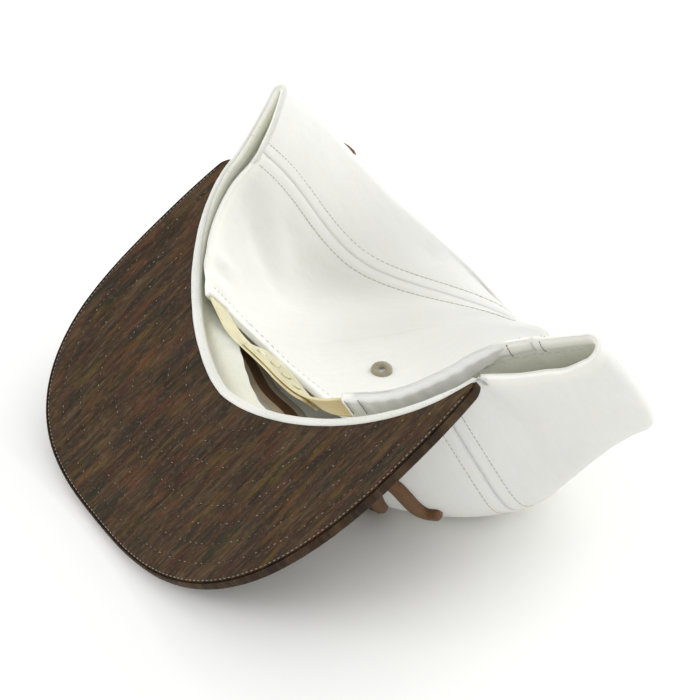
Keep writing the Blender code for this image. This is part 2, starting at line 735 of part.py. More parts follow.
def make_eyelet():
    """Embroidered ring seated on the back panel round its hole."""
    centre, axis, round_way, up_way = surface_point(*EYELET_PLACE)
    step_round = EYELET_RADIUS / surface_scale(*EYELET_PLACE)[0]
    step_up = EYELET_RADIUS / surface_scale(*EYELET_PLACE)[1]
    around, level = EYELET_PLACE
    spots, _ = crown_surface(around + step_round * np.linspace(-1, 1, 5), level + step_up * np.linspace(-1, 1, 5))
    base = centre + axis * (seat_height(centre, axis, spots.reshape(-1, 3)) + GAP)
    sides = 24
    angle = np.linspace(0, 2 * math.pi, sides, endpoint=False)
    ring = np.cos(angle)[:, None] * round_way + np.sin(angle)[:, None] * up_way
    inner = EYELET_HOLE_RADIUS / EYELET_RADIUS
    profile = ((inner, 0), (1, 0), (1 - 0.3 * (1 - inner), 1), (inner + 0.3 * (1 - inner), 1))
    points = [base + ring * share * EYELET_RADIUS + axis * rise * EYELET_HEIGHT for share, rise in profile]
    faces = []
    for row in range(len(profile)):
        following = (row + 1) % len(profile)
        for side in range(sides):
            beside = (side + 1) % sides
            faces.append([row * sides + side, row * sides + beside,
                          following * sides + beside, following * sides + side])
    add_object("eyelet", np.concatenate(points), faces, "khaki_thread")


def surface_point(around, level):
    """A point of the crown, its outward normal and its directions round and up."""
    places = np.array([around - SMALL_STEP, around, around + SMALL_STEP])
    grid, normal = crown_surface(places, np.array([level]))
    round_way = unit(grid[0, 2] - grid[0, 0])
    up_way = unit(np.cross(normal[0, 1], round_way))
    return grid[0, 1], normal[0, 1], round_way, up_way


def surface_scale(around, level):
    """Metres per unit of place round the crown and per unit of level, at a point."""
    grid = laid_shape(around + SMALL_STEP * np.array([-1, 1]), level + SMALL_STEP * np.array([-1, 1]))
    return (float(np.linalg.norm(grid[0, 1] - grid[0, 0])) / (2 * SMALL_STEP),
            float(np.linalg.norm(grid[1, 0] - grid[0, 0])) / (2 * SMALL_STEP))


def make_front_motif():
    """Raised satin-stitch wave: one half-round cord laid on the front panel."""
    rows = [dict(zip(MOTIF_COLUMNS, row)) for row in MOTIF]
    knots = np.arange(len(rows), dtype=float)
    run = np.linspace(0, len(rows) - 1, 8 * (len(rows) - 1) + 1)
    around = spline(knots, [row["around"] for row in rows], run)
    level = spline(knots, [row["level"] for row in rows], run)
    places = [surface_point(a, h) for a, h in zip(around, level)]
    centres = np.array([place[0] for place in places])
    normals = np.array([place[1] for place in places])
    tangent = unit(np.gradient(centres, axis=0))
    aside = unit(np.cross(normals, tangent))
    section = [(-1.0, 0.0), (-0.85, 0.55), (-0.5, 0.88), (0.0, 1.0), (0.5, 0.88), (0.85, 0.55), (1.0, 0.0)]
    seat = GAP + MOTIF_SEAT
    grid = np.array([centres + aside * (share * MOTIF_STROKE / 2) + normals * (seat + rise * MOTIF_RAISE)
                     for share, rise in section])
    grid[..., 2] = np.maximum(grid[..., 2], 0)
    count = len(centres)
    points = grid.reshape(-1, 3)
    faces = []
    sides = len(section)
    for side in range(sides):
        beside = (side + 1) % sides
        for step in range(count - 1):
            faces.append([side * count + step, side * count + step + 1,
                          beside * count + step + 1, beside * count + step])
    faces.append([side * count for side in range(sides)])
    faces.append([side * count + count - 1 for side in reversed(range(sides))])
    add_object("front_motif", points, faces, "brown_thread")


def make_side_motif():
    """Flat lozenge of satin stitch on the left panel."""
    around, level = SIDE_MOTIF_PLACE
    scale_round, scale_up = surface_scale(around, level)
    steps = np.linspace(-1, 1, 9)
    low, high = [], []
    for first in steps:
        low_row, high_row = [], []
        for second in steps:
            across = (first - second) / 2 * SIDE_MOTIF_HALF * SIDE_MOTIF_SLIM
            upward = (first + second) / 2 * SIDE_MOTIF_HALF
            spot, normal, _, _ = surface_point(around + across / scale_round, level + upward / scale_up)
            low_row.append(spot + normal * (GAP + SIDE_MOTIF_SEAT))
            high_row.append(spot + normal * (GAP + SIDE_MOTIF_SEAT + SIDE_MOTIF_RAISE))
        low.append(low_row)
        high.append(high_row)
    slab("side_motif", np.array(low), np.array(high), "brown_thread", lambda p: p)


def settle():
    """Put the middle of the laid cap's footprint at the origin."""
    kept = [item for item in bpy.context.scene.objects if not item.hide_render]
    spots = np.array([tuple(vertex.co) for item in kept for vertex in item.data.vertices])
    middle = (spots.min(axis=0) + spots.max(axis=0)) / 2
    shift = Vector((-middle[0], -middle[1], -spots[:, 2].min()))
    for item in bpy.context.scene.objects:
        item.data.transform(Matrix.Translation(shift))
    return tuple(shift)


def build():
    clear_scene()
    make_panels()
    make_back()
    make_sweatband()
    make_brim()
    make_strap()
    make_button()
    make_eyelet()
    make_front_motif()
    make_side_motif()
    return settle()


SHIFT = build()
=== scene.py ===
import json
import math

import bpy
import numpy as np
from mathutils import Matrix, Vector

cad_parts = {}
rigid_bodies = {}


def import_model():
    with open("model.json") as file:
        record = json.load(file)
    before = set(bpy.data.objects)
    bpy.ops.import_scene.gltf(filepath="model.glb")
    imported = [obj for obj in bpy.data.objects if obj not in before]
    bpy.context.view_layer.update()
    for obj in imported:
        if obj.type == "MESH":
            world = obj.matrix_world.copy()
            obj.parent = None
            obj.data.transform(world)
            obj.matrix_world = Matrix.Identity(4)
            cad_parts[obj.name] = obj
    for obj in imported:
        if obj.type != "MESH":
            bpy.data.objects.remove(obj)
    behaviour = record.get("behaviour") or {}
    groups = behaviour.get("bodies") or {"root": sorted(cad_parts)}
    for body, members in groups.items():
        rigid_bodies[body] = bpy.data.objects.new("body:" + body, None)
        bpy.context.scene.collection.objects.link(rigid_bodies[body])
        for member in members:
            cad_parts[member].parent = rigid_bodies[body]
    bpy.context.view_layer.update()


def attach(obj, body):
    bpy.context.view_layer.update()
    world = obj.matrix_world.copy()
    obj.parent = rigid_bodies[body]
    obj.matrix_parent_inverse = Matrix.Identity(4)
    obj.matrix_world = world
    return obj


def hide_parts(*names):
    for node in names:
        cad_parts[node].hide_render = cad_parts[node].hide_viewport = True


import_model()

# ---------------------------------------------------------------- crown_front
# The one-piece front panel of the crown: white cotton twill, cut flat, sewn along two curved seams
# and topstitched 4.8 mm off each. The back half of the crown is pushed into it, so every level of
# the crown is a crescent, and it is flattened where it lies on the table.
JUNCTION_HALF_WIDTH = 0.0843
JUNCTION_DEPTH = 0.0702
CROWN_HEIGHT = 0.101
FOLD_HALF_WIDTH = 0.1022
FOLD_BEHIND = 0.0372
LOOP_RADIUS = 0.0050
LOOP_TURN = math.radians(58)
NEST_SHIFT = 0.0029
NEST_SKEW = 0.16
NEST_SHOULDER = 0.15
FRONT_FLARE = (0.25, 0.40)
NEST_FLARE = (0.10, 0.50)
CLOTH = 0.0013
TOP_RADIUS = 0.0065
TOP_TILT = 0.004
BRIM_HALF_WIDTH = 0.0893
BRIM_BEND = 0.12
LIE_TIP = math.radians(35.1)
LIE_ROLL = math.radians(0.5)
LIFT = 0.0830881
SETTLE = (-0.0081183, 0.0087657, 0.0)
FLOOR_BLEND = 0.0015
SMALL_STEP = 0.002

# Shares of the sizes above at each level of the crown, from the rim (up 0) towards the button.
LEVEL_COLUMNS = ("up", "wide", "front", "bulge", "left", "right", "back", "loop_left", "loop_right",
                 "nest_out", "nest_in", "nest_bulge", "nest_dip", "seam_front", "seam_left", "seam_right")
LEVELS = (
    (0.00, 1.00, 1.00, 1.62, 0.918, 1.060, 0.90, 0.7, 1.2, 0.91, 0.78, 1.75, 0.00, 0.630, 0.794, 0.87),
    (0.21, 1.03, 1.03, 1.80, 0.915, 1.050, 0.96, 0.8, 1.2, 0.90, 0.75, 1.80, 0.00, 0.630, 0.801, 0.86),
    (0.44, 1.06, 0.96, 2.30, 0.900, 1.020, 1.00, 0.9, 1.1, 0.87, 0.60, 2.00, 0.00, 0.630, 0.780, 0.85),
    (0.66, 1.09, 0.72, 3.20, 0.860, 0.960, 1.02, 1.0, 1.0, 0.82, 0.33, 2.40, 0.02, 0.625, 0.752, 0.80),
    (0.80, 1.03, 0.47, 3.20, 0.780, 0.885, 1.03, 1.0, 1.0, 0.76, 0.10, 2.40, 0.06, 0.620, 0.718, 0.74),
    (0.93, 0.56, 0.06, 2.40, 0.500, 0.640, 1.06, 0.9, 0.9, 0.72, -0.25, 2.00, 0.13, 0.610, 0.605, 0.66),
)
TOP_SPOT = (0.13, -1.00)

# Folds and dents: place round the crown in panels (0 to 1 front, 1 to 2 right, 2 to 3 back,
# 3 to 4 left), level from rim to top, half length up and round, lean, and depth in metres.
FOLD_COLUMNS = ("around", "level", "half_level", "half_around", "turn", "depth")
FOLDS = (
    (2.86, 0.40, 0.15, 0.055, 0.35, -0.00195),
    (2.76, 0.42, 0.16, 0.050, 0.30, 0.00156),
    (2.66, 0.44, 0.15, 0.050, 0.25, -0.00130),
    (1.35, 0.38, 0.12, 0.130, 0.50, -0.00312),
    (0.70, 0.42, 0.12, 0.080, -0.40, 0.00130),
    (2.865, 0.20, 0.13, 0.022, -0.30, -0.00110),
    (2.915, 0.22, 0.15, 0.024, -0.30, 0.00090),
    (3.22, 0.61, 0.030, 0.060, 0.00, -0.00060),
    (1.85, 0.60, 0.05, 0.050, 0.60, -0.00090),
    (1.22, 0.15, 0.06, 0.030, 0.80, -0.00080),
    (1.12, 0.09, 0.05, 0.025, 0.50, 0.00060),
    (3.55, 0.30, 0.20, 0.060, 0.20, -0.00080),
    (3.75, 0.45, 0.16, 0.050, -0.30, 0.00070),
    (0.30, 0.62, 0.12, 0.060, 0.30, -0.00090),
    (1.62, 0.45, 0.16, 0.060, -0.20, 0.00080),
    (2.30, 0.35, 0.18, 0.060, -0.25, -0.00060),
    (2.735, 0.05, 0.05, 0.012, 0.00, 0.00090),
    (2.765, 0.06, 0.05, 0.010, 0.00, -0.00080),
    (2.792, 0.07, 0.05, 0.010, 0.00, 0.00080),
    (0.94, 0.42, 0.12, 0.110, 0.80, -0.00330),
    (2.14, 0.00, 0.17, 0.110, 0.00, 0.00780),
    (2.30, 0.00, 0.10, 0.060, 0.00, 0.00250),
    (1.33, 0.00, 0.20, 0.150, 0.00, 0.00420),
    (1.42, 0.00, 0.12, 0.085, 0.00, 0.00120),
    (1.53, 0.00, 0.12, 0.080, 0.00, 0.00340),
)


def unit(vectors):
    """Vectors of length 1 in the same directions."""
    length = np.linalg.norm(vectors, axis=-1, keepdims=True)
    return vectors / np.maximum(length, 1e-12)


def spline(knots, values, at):
    """Natural cubic splines through columns of points at knots, each column read at its own places."""
    knots = np.asarray(knots, float)
    values = np.asarray(values, float)
    count = len(knots)
    step = np.diff(knots)
    shape = (count,) + values.shape[1:]
    right = np.zeros(shape)
    matrix = np.eye(count)
    for row in range(1, count - 1):
        matrix[row, row - 1:row + 2] = (step[row - 1], 2 * (step[row - 1] + step[row]), step[row])
        right[row] = 6 * ((values[row + 1] - values[row]) / step[row]
                          - (values[row] - values[row - 1]) / step[row - 1])
    bend = np.linalg.solve(matrix, right.reshape(count, -1)).reshape(shape)
    cell = np.clip(np.searchsorted(knots, at, side="right") - 1, 0, count - 2)
    column = np.arange(values.shape[1])
    width = step[cell][..., None]
    before = (at - knots[cell])[..., None]
    after = width - before
    return (bend[cell, column] * after ** 3 + bend[cell + 1, column] * before ** 3) / (6 * width) \
        + (values[cell, column] / width - bend[cell, column] * width / 6) * after \
        + (values[cell + 1, column] / width - bend[cell + 1, column] * width / 6) * before


def run_of(curve):
    """Running length along a curve of points, from 0."""
    return np.concatenate([[0.0], np.cumsum(np.linalg.norm(np.diff(curve, axis=0), axis=1))])


def bell(distance, spread):
    """Soft bump of height 1 about distance 0."""
    return np.exp(-(distance / spread) ** 2)


def sine_of(length, pitch, phase=0.0):
    """Sine wave repeated at every pitch along a length."""
    return np.sin(length * 2 * math.pi / pitch + phase)


def eased(share):
    """Smooth step from 0 to 1."""
    share = np.clip(share, 0, 1)
    return share * share * (3 - 2 * share)


def length_of(curve):
    """Length of a curve of points."""
    return float(np.linalg.norm(np.diff(curve, axis=0), axis=1).sum())


def brim_drop(across):
    """How far the gently bent brim and the rim sewn to it drop at a distance from the middle."""
    within = np.clip(across, -JUNCTION_HALF_WIDTH, JUNCTION_HALF_WIDTH)
    return within ** 2 * BRIM_BEND / (2 * BRIM_HALF_WIDTH)


def fold_middle(level, side):
    """Middle of the turn of the cloth on one side, the turn's radius and its direction."""
    across = level["right" if side > 0 else "left"] * FOLD_HALF_WIDTH
    radius = level["loop_right" if side > 0 else "loop_left"] * LOOP_RADIUS
    middle = np.array([side * across, -level["back"] * FOLD_BEHIND])
    return middle, radius, np.array([side * math.cos(LOOP_TURN), -math.sin(LOOP_TURN)])


def flare(start, end, pull, count):
    """Curve from the straight side of an arc out to the fold."""
    middle = start + (end - start) * pull
    run = np.linspace(0, 1, count)[1:, None]
    return (1 - run) ** 2 * start + 2 * run * (1 - run) * middle + run ** 2 * end


def round_arc(wide, front, bulge, count):
    """Quarter outline from the middle of the front to the side."""
    angle = np.linspace(0, math.pi / 2, count)
    return np.stack([wide * np.sin(angle) ** (2 / bulge), front * np.cos(angle) ** (2 / bulge)], axis=1)


def front_arc(level, side, count=240):
    """Half of a level's front arc, from the middle to the fold on one side."""
    middle, radius, way = fold_middle(level, side)
    arc = round_arc(level["wide"] * JUNCTION_HALF_WIDTH, level["front"] * JUNCTION_DEPTH,
                    level["bulge"], count) * (side, 1)
    end = middle + radius * np.array([-way[1] * side, way[0] * side])
    return np.concatenate([arc, flare(arc[-1], end, FRONT_FLARE, count // 2)])


def nested_arc(level, side, count=240):
    """Half of the pushed-in back's arc, from the fold to the middle on one side."""
    middle, radius, way = fold_middle(level, side)
    wide = level["wide"] * level["nest_out"] * JUNCTION_HALF_WIDTH
    base = min(0.0, level["nest_in"] - NEST_SHOULDER) * JUNCTION_DEPTH
    ahead = level["nest_in"] * JUNCTION_DEPTH - base
    arc = round_arc(wide, ahead, level["nest_bulge"], count) * (side, 1)
    arc[:, 1] *= 1 - NEST_SKEW * arc[:, 0] / wide
    arc[:, 1] += base
    arc[:, 0] += NEST_SHIFT
    end = middle - radius * np.array([-way[1] * side, way[0] * side])
    return np.concatenate([arc, flare(arc[-1], end, NEST_FLARE, count // 2)])[::-1]


def fold_loop(outer, inner, way, count=40):
    """Rounded turn of the cloth from the front arc's end to the nested arc's start."""
    middle = (outer + inner) / 2
    angle = np.linspace(0, math.pi, count)[1:-1, None]
    reach = np.linalg.norm(outer - inner) / 2
    return middle + np.cos(angle) * (outer - middle) + np.sin(angle) * reach * way


def level_loop(level):
    """A level's closed crescent from the front's middle round to the right, and where its seams lie."""
    halves = {}
    for side, name in ((1, "right"), (-1, "left")):
        outer = front_arc(level, side)
        inner = nested_arc(level, side)
        turn = fold_loop(outer[-1], inner[0], fold_middle(level, side)[2])
        whole = np.concatenate([outer, turn, inner])
        total = length_of(whole)
        halves[name] = (whole, total, level["seam_front"] * length_of(outer),
                        total - level["seam_" + name] * length_of(inner))
    right, right_total, right_front, right_back = halves["right"]
    left, left_total, left_front, left_back = halves["left"]
    loop = np.concatenate([right, left[::-1][1:]])
    run = run_of(loop)
    whole_total = right_total + left_total
    return loop, run, (0.0, right_front, right_back, right_total, whole_total - left_back,
                       whole_total - left_front, whole_total)


MARK_PLACES = (0.5, 1.0, 2.0, 2.5, 3.0, 4.0, 4.5)
LEVEL_ROWS = [dict(zip(LEVEL_COLUMNS, row)) for row in LEVELS]
LOOPS = [level_loop(row) for row in LEVEL_ROWS]
SIDE_LINE = [(row["right"] * FOLD_HALF_WIDTH, row["up"] * CROWN_HEIGHT) for row in LEVEL_ROWS]
SIDE_LINE.append((TOP_SPOT[0] * FOLD_HALF_WIDTH, CROWN_HEIGHT))
SIDE_RUN = run_of(SIDE_LINE)
MERIDIAN = float(SIDE_RUN[-1])
PLACES = SIDE_RUN / MERIDIAN


def nest_share(around):
    """How far a place is into the pushed-in back, from 0 at the folds and the front to 1 in its middle."""
    return eased(1 - np.abs(np.asarray(around, float) % 4 - 2.5))


def crown_shape(around, levels):
    """Grid of outer surface points in the cap's own frame: rows are levels, columns go round."""
    places = (around - 0.5) % 4 + 0.5
    rings = []
    for row, (loop, run, marks) in zip(LEVEL_ROWS, LOOPS):
        lengths = np.interp(places, MARK_PLACES, marks)
        plan = np.stack([np.interp(lengths, run, loop[:, axis]) for axis in (0, 1)], axis=-1)
        height = row["up"] * CROWN_HEIGHT - brim_drop(plan[:, 0]) * (1 - row["up"]) ** 2
        rings.append(np.column_stack([plan, height - row["nest_dip"] * CROWN_HEIGHT * nest_share(around)]))
    turn = (0.5 - around) * math.pi / 2 + math.pi / 2
    top = np.stack([np.cos(turn), np.sin(turn), np.zeros_like(turn)], axis=1) * TOP_RADIUS
    top[:, 2] -= TOP_TILT * nest_share(around)
    rings.append(top + (TOP_SPOT[0] * FOLD_HALF_WIDTH, TOP_SPOT[1] * FOLD_BEHIND, CROWN_HEIGHT))
    return spline(PLACES, np.array(rings), levels)


TURN = np.array(Matrix.Rotation(LIE_ROLL, 3, "Y") @ Matrix.Rotation(LIE_TIP, 3, "X")
                @ Matrix(((1, 0, 0), (0, -1, 0), (0, 0, -1))))


def place_stiff(points):
    """From the cap's frame to the table: turned upside down, tipped and set down."""
    return np.asarray(points) @ TURN.T + (0.0, 0.0, LIFT) + np.array(SETTLE)


def place_cloth(points):
    """The same for cloth, which flattens where it meets the table."""
    laid = place_stiff(points)
    height = laid[..., 2]
    blend = np.clip(height + FLOOR_BLEND, 0, 2 * FLOOR_BLEND)
    laid[..., 2] = np.where(height > FLOOR_BLEND, height, blend ** 2 / (4 * FLOOR_BLEND))
    return laid


def facing(surface, around, levels):
    """Outward unit normals of a surface given as a function of places and levels."""
    round_step = surface(around + SMALL_STEP, levels) - surface(around - SMALL_STEP, levels)
    up_step = surface(around, levels + SMALL_STEP) - surface(around, levels - SMALL_STEP)
    return unit(np.cross(up_step, round_step))


def fold_depth(around, levels):
    """Outward shift of the crown's cloth from its folds and dents."""
    shift = np.zeros_like(levels)
    for row in FOLDS:
        fold = dict(zip(FOLD_COLUMNS, row))
        up = (levels - fold["level"]) / fold["half_level"]
        beside = (around - fold["around"] + 2) % 4 - 2
        side = (beside - fold["turn"] * (levels - fold["level"])) / fold["half_around"]
        shift += fold["depth"] * np.exp(-up ** 2 - side ** 2)
    return shift


def laid_shape(around, levels):
    """Grid of outer surface points with their folds, laid on the table."""
    shape = crown_shape(around, levels)
    return place_cloth(shape + facing(crown_shape, around, levels) * fold_depth(around, levels)[..., None])


def crown_surface(around, levels):
    """Outer surface and normals of the laid crown; levels are one for each row, or a grid."""
    around = np.asarray(around, float)
    levels = np.asarray(levels, float)
    if levels.ndim == 1:
        levels = np.repeat(levels[:, None], len(around), axis=1)
    return laid_shape(around, levels), facing(laid_shape, around, levels)


def spots_on_crown(around, levels):
    """Points of the crown at pairs of places and levels, with their outward normals."""
    around, levels = np.broadcast_arrays(np.asarray(around, float), np.asarray(levels, float))
    points, normals = crown_surface(around, levels[None, :])
    return points[0], normals[0]


def rim_length(start, end):
    """Length of the rim between two places."""
    return length_of(spots_on_crown(np.linspace(start, end, 200), 0.0)[0])


class Signal:
    """One output of a material's nodes; sums, products and powers of signals add their Math nodes."""

    def __init__(self, tree, socket):
        self.tree = tree
        self.socket = socket

    def made(self, kind, settings=None, inputs=None, output=0):
        """Add a node with its settings, then the values or links of its inputs, and take an output."""
        node = self.tree.nodes.new(kind)
        for name, value in (settings or {}).items():
            if name == "stops":
                ramp = node.color_ramp
                while len(ramp.elements) < len(value):
                    ramp.elements.new(0.5)
                for element, (place, colour) in zip(ramp.elements, value):
                    element.position = place
                    element.color = (*colour, 1.0)
            else:
                setattr(node, name, value)
        for place, value in (inputs or {}).items():
            if isinstance(value, Signal):
                self.tree.links.new(value.socket, node.inputs[place])
            elif value is not None:
                node.inputs[place].default_value = value
        return Signal(self.tree, node.outputs[output])

    def math(self, operation, first, second=None):
        return self.made("ShaderNodeMath", {"operation": operation}, {0: first, 1: second})

    def __add__(self, other):
        return self.math("ADD", self, other)

    def __radd__(self, other):
        return self.math("ADD", other, self)

    def __sub__(self, other):
        return self.math("SUBTRACT", self, other)

    def __rsub__(self, other):
        return self.math("SUBTRACT", other, self)

    def __mul__(self, other):
        return self.math("MULTIPLY", self, other)

    def __rmul__(self, other):
        return self.math("MULTIPLY", other, self)

    def ripple(self, pitch):
        """A sine wave from -1 to 1, repeated at every pitch in metres."""
        return self.math("SINE", self * (2 * math.pi / pitch))

    def wave(self, pitch):
        """The same wave from 0 to 1."""
        return self.ripple(pitch) * 0.5 + 0.5

    def between(self, low, high):
        """0 below low and 1 above high, smoothly."""
        return self.made("ShaderNodeMapRange", {"interpolation_type": "SMOOTHSTEP", "clamp": True},
                         {0: self, 1: low, 2: high, 3: 0.0, 4: 1.0})

    def parts(self):
        first = self.made("ShaderNodeSeparateXYZ", {}, {0: self})
        return [Signal(self.tree, output) for output in first.socket.node.outputs]

    def placed(self, operation, other):
        """The same place, moved or scaled by another vector."""
        return self.made("ShaderNodeVectorMath", {"operation": operation}, {0: self, 1: other})

    def stretched(self, across, up):
        return self.placed("MULTIPLY", (across, up, 1.0))

    def noise(self, scale, detail=2.0, rough=0.5, twist=0.0):
        return self.made("ShaderNodeTexNoise", {"noise_dimensions": "3D"},
                         {"Vector": self, "Scale": scale, "Detail": detail, "Roughness": rough,
                          "Distortion": twist}, "Fac")

    def tint(self, factor, other):
        """This colour mixed towards another one, which may be a signal or three numbers."""
        other = other if isinstance(other, Signal) else (*other, 1.0)
        return self.made("ShaderNodeMix", {"data_type": "RGBA"}, {0: factor, 6: self, 7: other}, 2)

    def ramp(self, *stops):
        return self.made("ShaderNodeValToRGB", {"stops": stops}, {0: self})

    def bump(self, distance, strength=1.0, over=None):
        """A normal bent by this height in metres of distance, over another normal."""
        return self.made("ShaderNodeBump", {},
                         {"Strength": strength, "Distance": distance, "Height": self, "Normal": over})


def new_finish(name, constants):
    """A Principled material: its tree, its shader, and the UV and object coordinates as signals."""
    made = bpy.data.materials.new(name)
    made.use_nodes = True
    tree = made.node_tree
    shader = tree.nodes["Principled BSDF"]
    for socket, value in constants.items():
        shader.inputs[socket].default_value = value
    coordinates = tree.nodes.new("ShaderNodeTexCoord")
    return made, shader, Signal(tree, coordinates.outputs["UV"]), Signal(tree, coordinates.outputs["Object"])


def feed(shader, **signals):
    """Link signals to the shader's inputs: colour, rough or normal."""
    names = {"colour": "Base Color", "rough": "Roughness", "normal": "Normal"}
    for name, signal in signals.items():
        signal.tree.links.new(signal.socket, shader.inputs[names[name]])


SOFT_CLOTH = {"Specular IOR Level": 0.25, "Subsurface Weight": 0.35, "Subsurface Scale": 1.0,
              "Subsurface Radius": (0.0045, 0.0043, 0.0032)}


def cotton_finish(name, colour, shade, pitch, relief, slubs):
    """Cotton cloth: diagonal twill on the piece's UV map in metres, slubs, and faint handling creases."""
    made, shader, cloth, place = new_finish(name, {"Sheen Weight": 0.25, "Sheen Roughness": 0.5, **SOFT_CLOTH})
    across, up, _ = cloth.parts()
    twill = (across + up).wave(pitch)
    yarn = (across - up).wave(pitch * 0.62)
    slub = cloth.stretched(1.0, 0.12).noise(slubs, 3.0, 0.6)
    creases = place.noise(70.0, 4.0, 0.55, 0.8)
    mottle = place.noise(28.0, 3.0, 0.5)
    fuzz = cloth.noise(2600.0, 2.0, 0.6)
    tone = (mottle * 0.35 + slub * 0.30 + fuzz * 0.35).between(0.30, 0.72)
    height = twill * 0.40 + yarn * 0.15 + slub * 0.45 + fuzz * 0.35
    feed(shader, colour=tone.ramp((0.0, shade), (1.0, colour)), rough=0.86 - 0.08 * twill,
         normal=creases.bump(0.0012, 0.35, height.bump(relief)))
    return made


WHITE_TWILL = cotton_finish("white_twill", (0.885, 0.882, 0.830), (0.825, 0.825, 0.765),
                            pitch=0.00062, relief=0.00010, slubs=420.0)
HEM_WIDTH = 0.0042
RIM_HEM_WIDTH = 0.0072
HEM_THICK = 0.0016
HEM_CREASE = 0.00022
HEM_PUFF = 0.00025
SEAM_ROW = 0.0048
SEAM_DIP = 0.00012
SEAM_SPREAD = 0.0009
SEAM_PUFF = 0.00016
ROW_DIP = 0.00020
ROW_SPREAD = 0.0007
CREASE_SPREAD = 0.0006
RIM_CREASE = 0.00007
OUTER_ROUND = 0.0009
INNER_ROUND = 0.0007
CLEAR = 0.0002
CELL = 0.0013


def added(name, data):
    """A new object in the scene, at the origin."""
    made = bpy.data.objects.new(name, data)
    bpy.context.scene.collection.objects.link(made)
    return made


def solid_mesh(name, points, faces, finish, flat=None):
    """A smooth closed mesh, with a flat place in metres for each point as its UV map where it has one."""
    mesh = bpy.data.meshes.new(name)
    mesh.from_pydata(np.asarray(points).tolist(), [], faces)
    if flat is not None:
        corners = np.zeros(len(mesh.loops), int)
        mesh.loops.foreach_get("vertex_index", corners)
        places = np.asarray(flat)[corners].astype(np.float32)
        mesh.uv_layers.new(name="flat").data.foreach_set("uv", places.ravel())
    mesh.materials.append(finish)
    mesh.validate()
    mesh.update()
    mesh.shade_smooth()
    return added(name, mesh)


def cloth_mesh(name, outer, inner, finish, uv_outer):
    """A closed wall of cloth between two grids of points, with the cloth's flat sizes as its UV map."""
    rows, columns = outer.shape[:2]
    count = rows * columns
    points = np.concatenate([outer.reshape(-1, 3), inner.reshape(-1, 3)])
    index = np.arange(count).reshape(rows, columns)
    a, b, c, d = index[:-1, :-1], index[:-1, 1:], index[1:, 1:], index[1:, :-1]
    faces = np.stack([a, d, c, b], axis=-1).reshape(-1, 4)
    back = np.stack([a, b, c, d], axis=-1).reshape(-1, 4) + count
    ring = np.concatenate([index[0, :-1], index[:-1, -1], index[-1, :0:-1], index[:0:-1, 0]])
    after = np.roll(ring, -1)
    rim = np.stack([ring, after, after + count, ring + count], axis=-1)
    whole = np.concatenate([faces, back, rim]).tolist()
    return solid_mesh(name, points, whole, finish, np.tile(uv_outer.reshape(-1, 2), (2, 1)))


def tube_mesh(name, grid, lengths, girths, finish):
    """A closed tube with flat ends, from the lines of points that run along it, listed in turn round it."""
    sides, count = grid.shape[:2]
    index = np.arange(sides * count).reshape(sides, count)
    after = np.roll(index, -1, axis=0)
    quads = np.stack([index[:, :-1], index[:, 1:], after[:, 1:], after[:, :-1]], axis=-1)
    faces = quads.reshape(-1, 4).tolist() + [index[:, 0].tolist(), index[::-1, -1].tolist()]
    flat = np.stack(np.broadcast_arrays(lengths[None], girths[:, None]), axis=-1)
    return solid_mesh(name, grid.reshape(-1, 3), faces, finish, flat.reshape(-1, 2))


def flat_sizes(grid):
    """Lengths along the rows from the left edge, and up the columns from the bottom edge."""
    across = np.linalg.norm(np.diff(grid, axis=1), axis=2)
    up = np.linalg.norm(np.diff(grid, axis=0), axis=2)
    across = np.concatenate([np.zeros((grid.shape[0], 1)), np.cumsum(across, axis=1)], axis=1)
    up = np.concatenate([np.zeros((1, grid.shape[1])), np.cumsum(up, axis=0)], axis=0)
    return across, up


def seam_relief(beside, along):
    """Height of the cloth beside a seam: a valley, a puffed allowance, and a dimpled stitch row."""
    pucker = 0.75 + 0.25 * sine_of(along, 0.0046, 1.7 * sine_of(along, 0.031))
    valley = -SEAM_DIP * bell(beside, SEAM_SPREAD)
    puff = SEAM_PUFF * bell(beside - 0.5 * SEAM_ROW, 0.30 * SEAM_ROW)
    return valley + puff - ROW_DIP * pucker * bell(beside - SEAM_ROW, ROW_SPREAD)


def round_rise(share, least=0.0):
    """Height of a quarter circle at a share of its width, no lower than the root of the least value."""
    return np.sqrt(np.clip(1 - (1 - np.clip(share, 0, 1)) ** 2, least, 1))


def rounded_edge(beside, radius):
    """How far a surface falls back as it turns over an edge."""
    return radius * (1 - round_rise(beside / radius))


def hem_roll(up, wide):
    """Share of the hem's depth at a distance from the edge: a soft roll, then a step down."""
    middle = wide / 2
    return np.sqrt(np.clip(1 - ((up - middle) / (middle * 1.12)) ** 2, 0, 1))


def crown_sheet(around, bottoms, tops, rows):
    """Outer surface, normals and flat sizes of a stretch of the crown between two edges."""
    share = np.linspace(0, 1, rows)
    share = np.sort(np.concatenate([share, share[1] * np.array([0.06, 0.16, 0.30, 0.47, 0.70])]))[:, None]
    outer, normal = crown_surface(around, bottoms + (tops - bottoms) * share)
    across, up = flat_sizes(outer)
    return outer, normal, across, up


def panel(name, around, finish, hem_depth):
    """One crown panel: a wall of cloth with its seam edges rolled in and its rim turned inwards."""
    low = np.zeros_like(around)
    outer, normal, across, up = crown_sheet(around, low, low + 1, int(round(MERIDIAN / CELL)))
    total = across[:, -1:]
    relief = seam_relief(across, up) + seam_relief(total - across, up) - rounded_edge(up, OUTER_ROUND)
    relief -= RIM_CREASE * bell(up - RIM_HEM_WIDTH, CREASE_SPREAD) * (0.75 + 0.25 * sine_of(across, 0.0042))
    hem = hem_depth * hem_roll(up, RIM_HEM_WIDTH)
    back = outer - normal * (CLOTH + hem - rounded_edge(up, INNER_ROUND))[..., None]
    return cloth_mesh(name, outer + normal * relief[..., None], back, finish,
                      np.stack([across - total / 2, up], axis=-1))


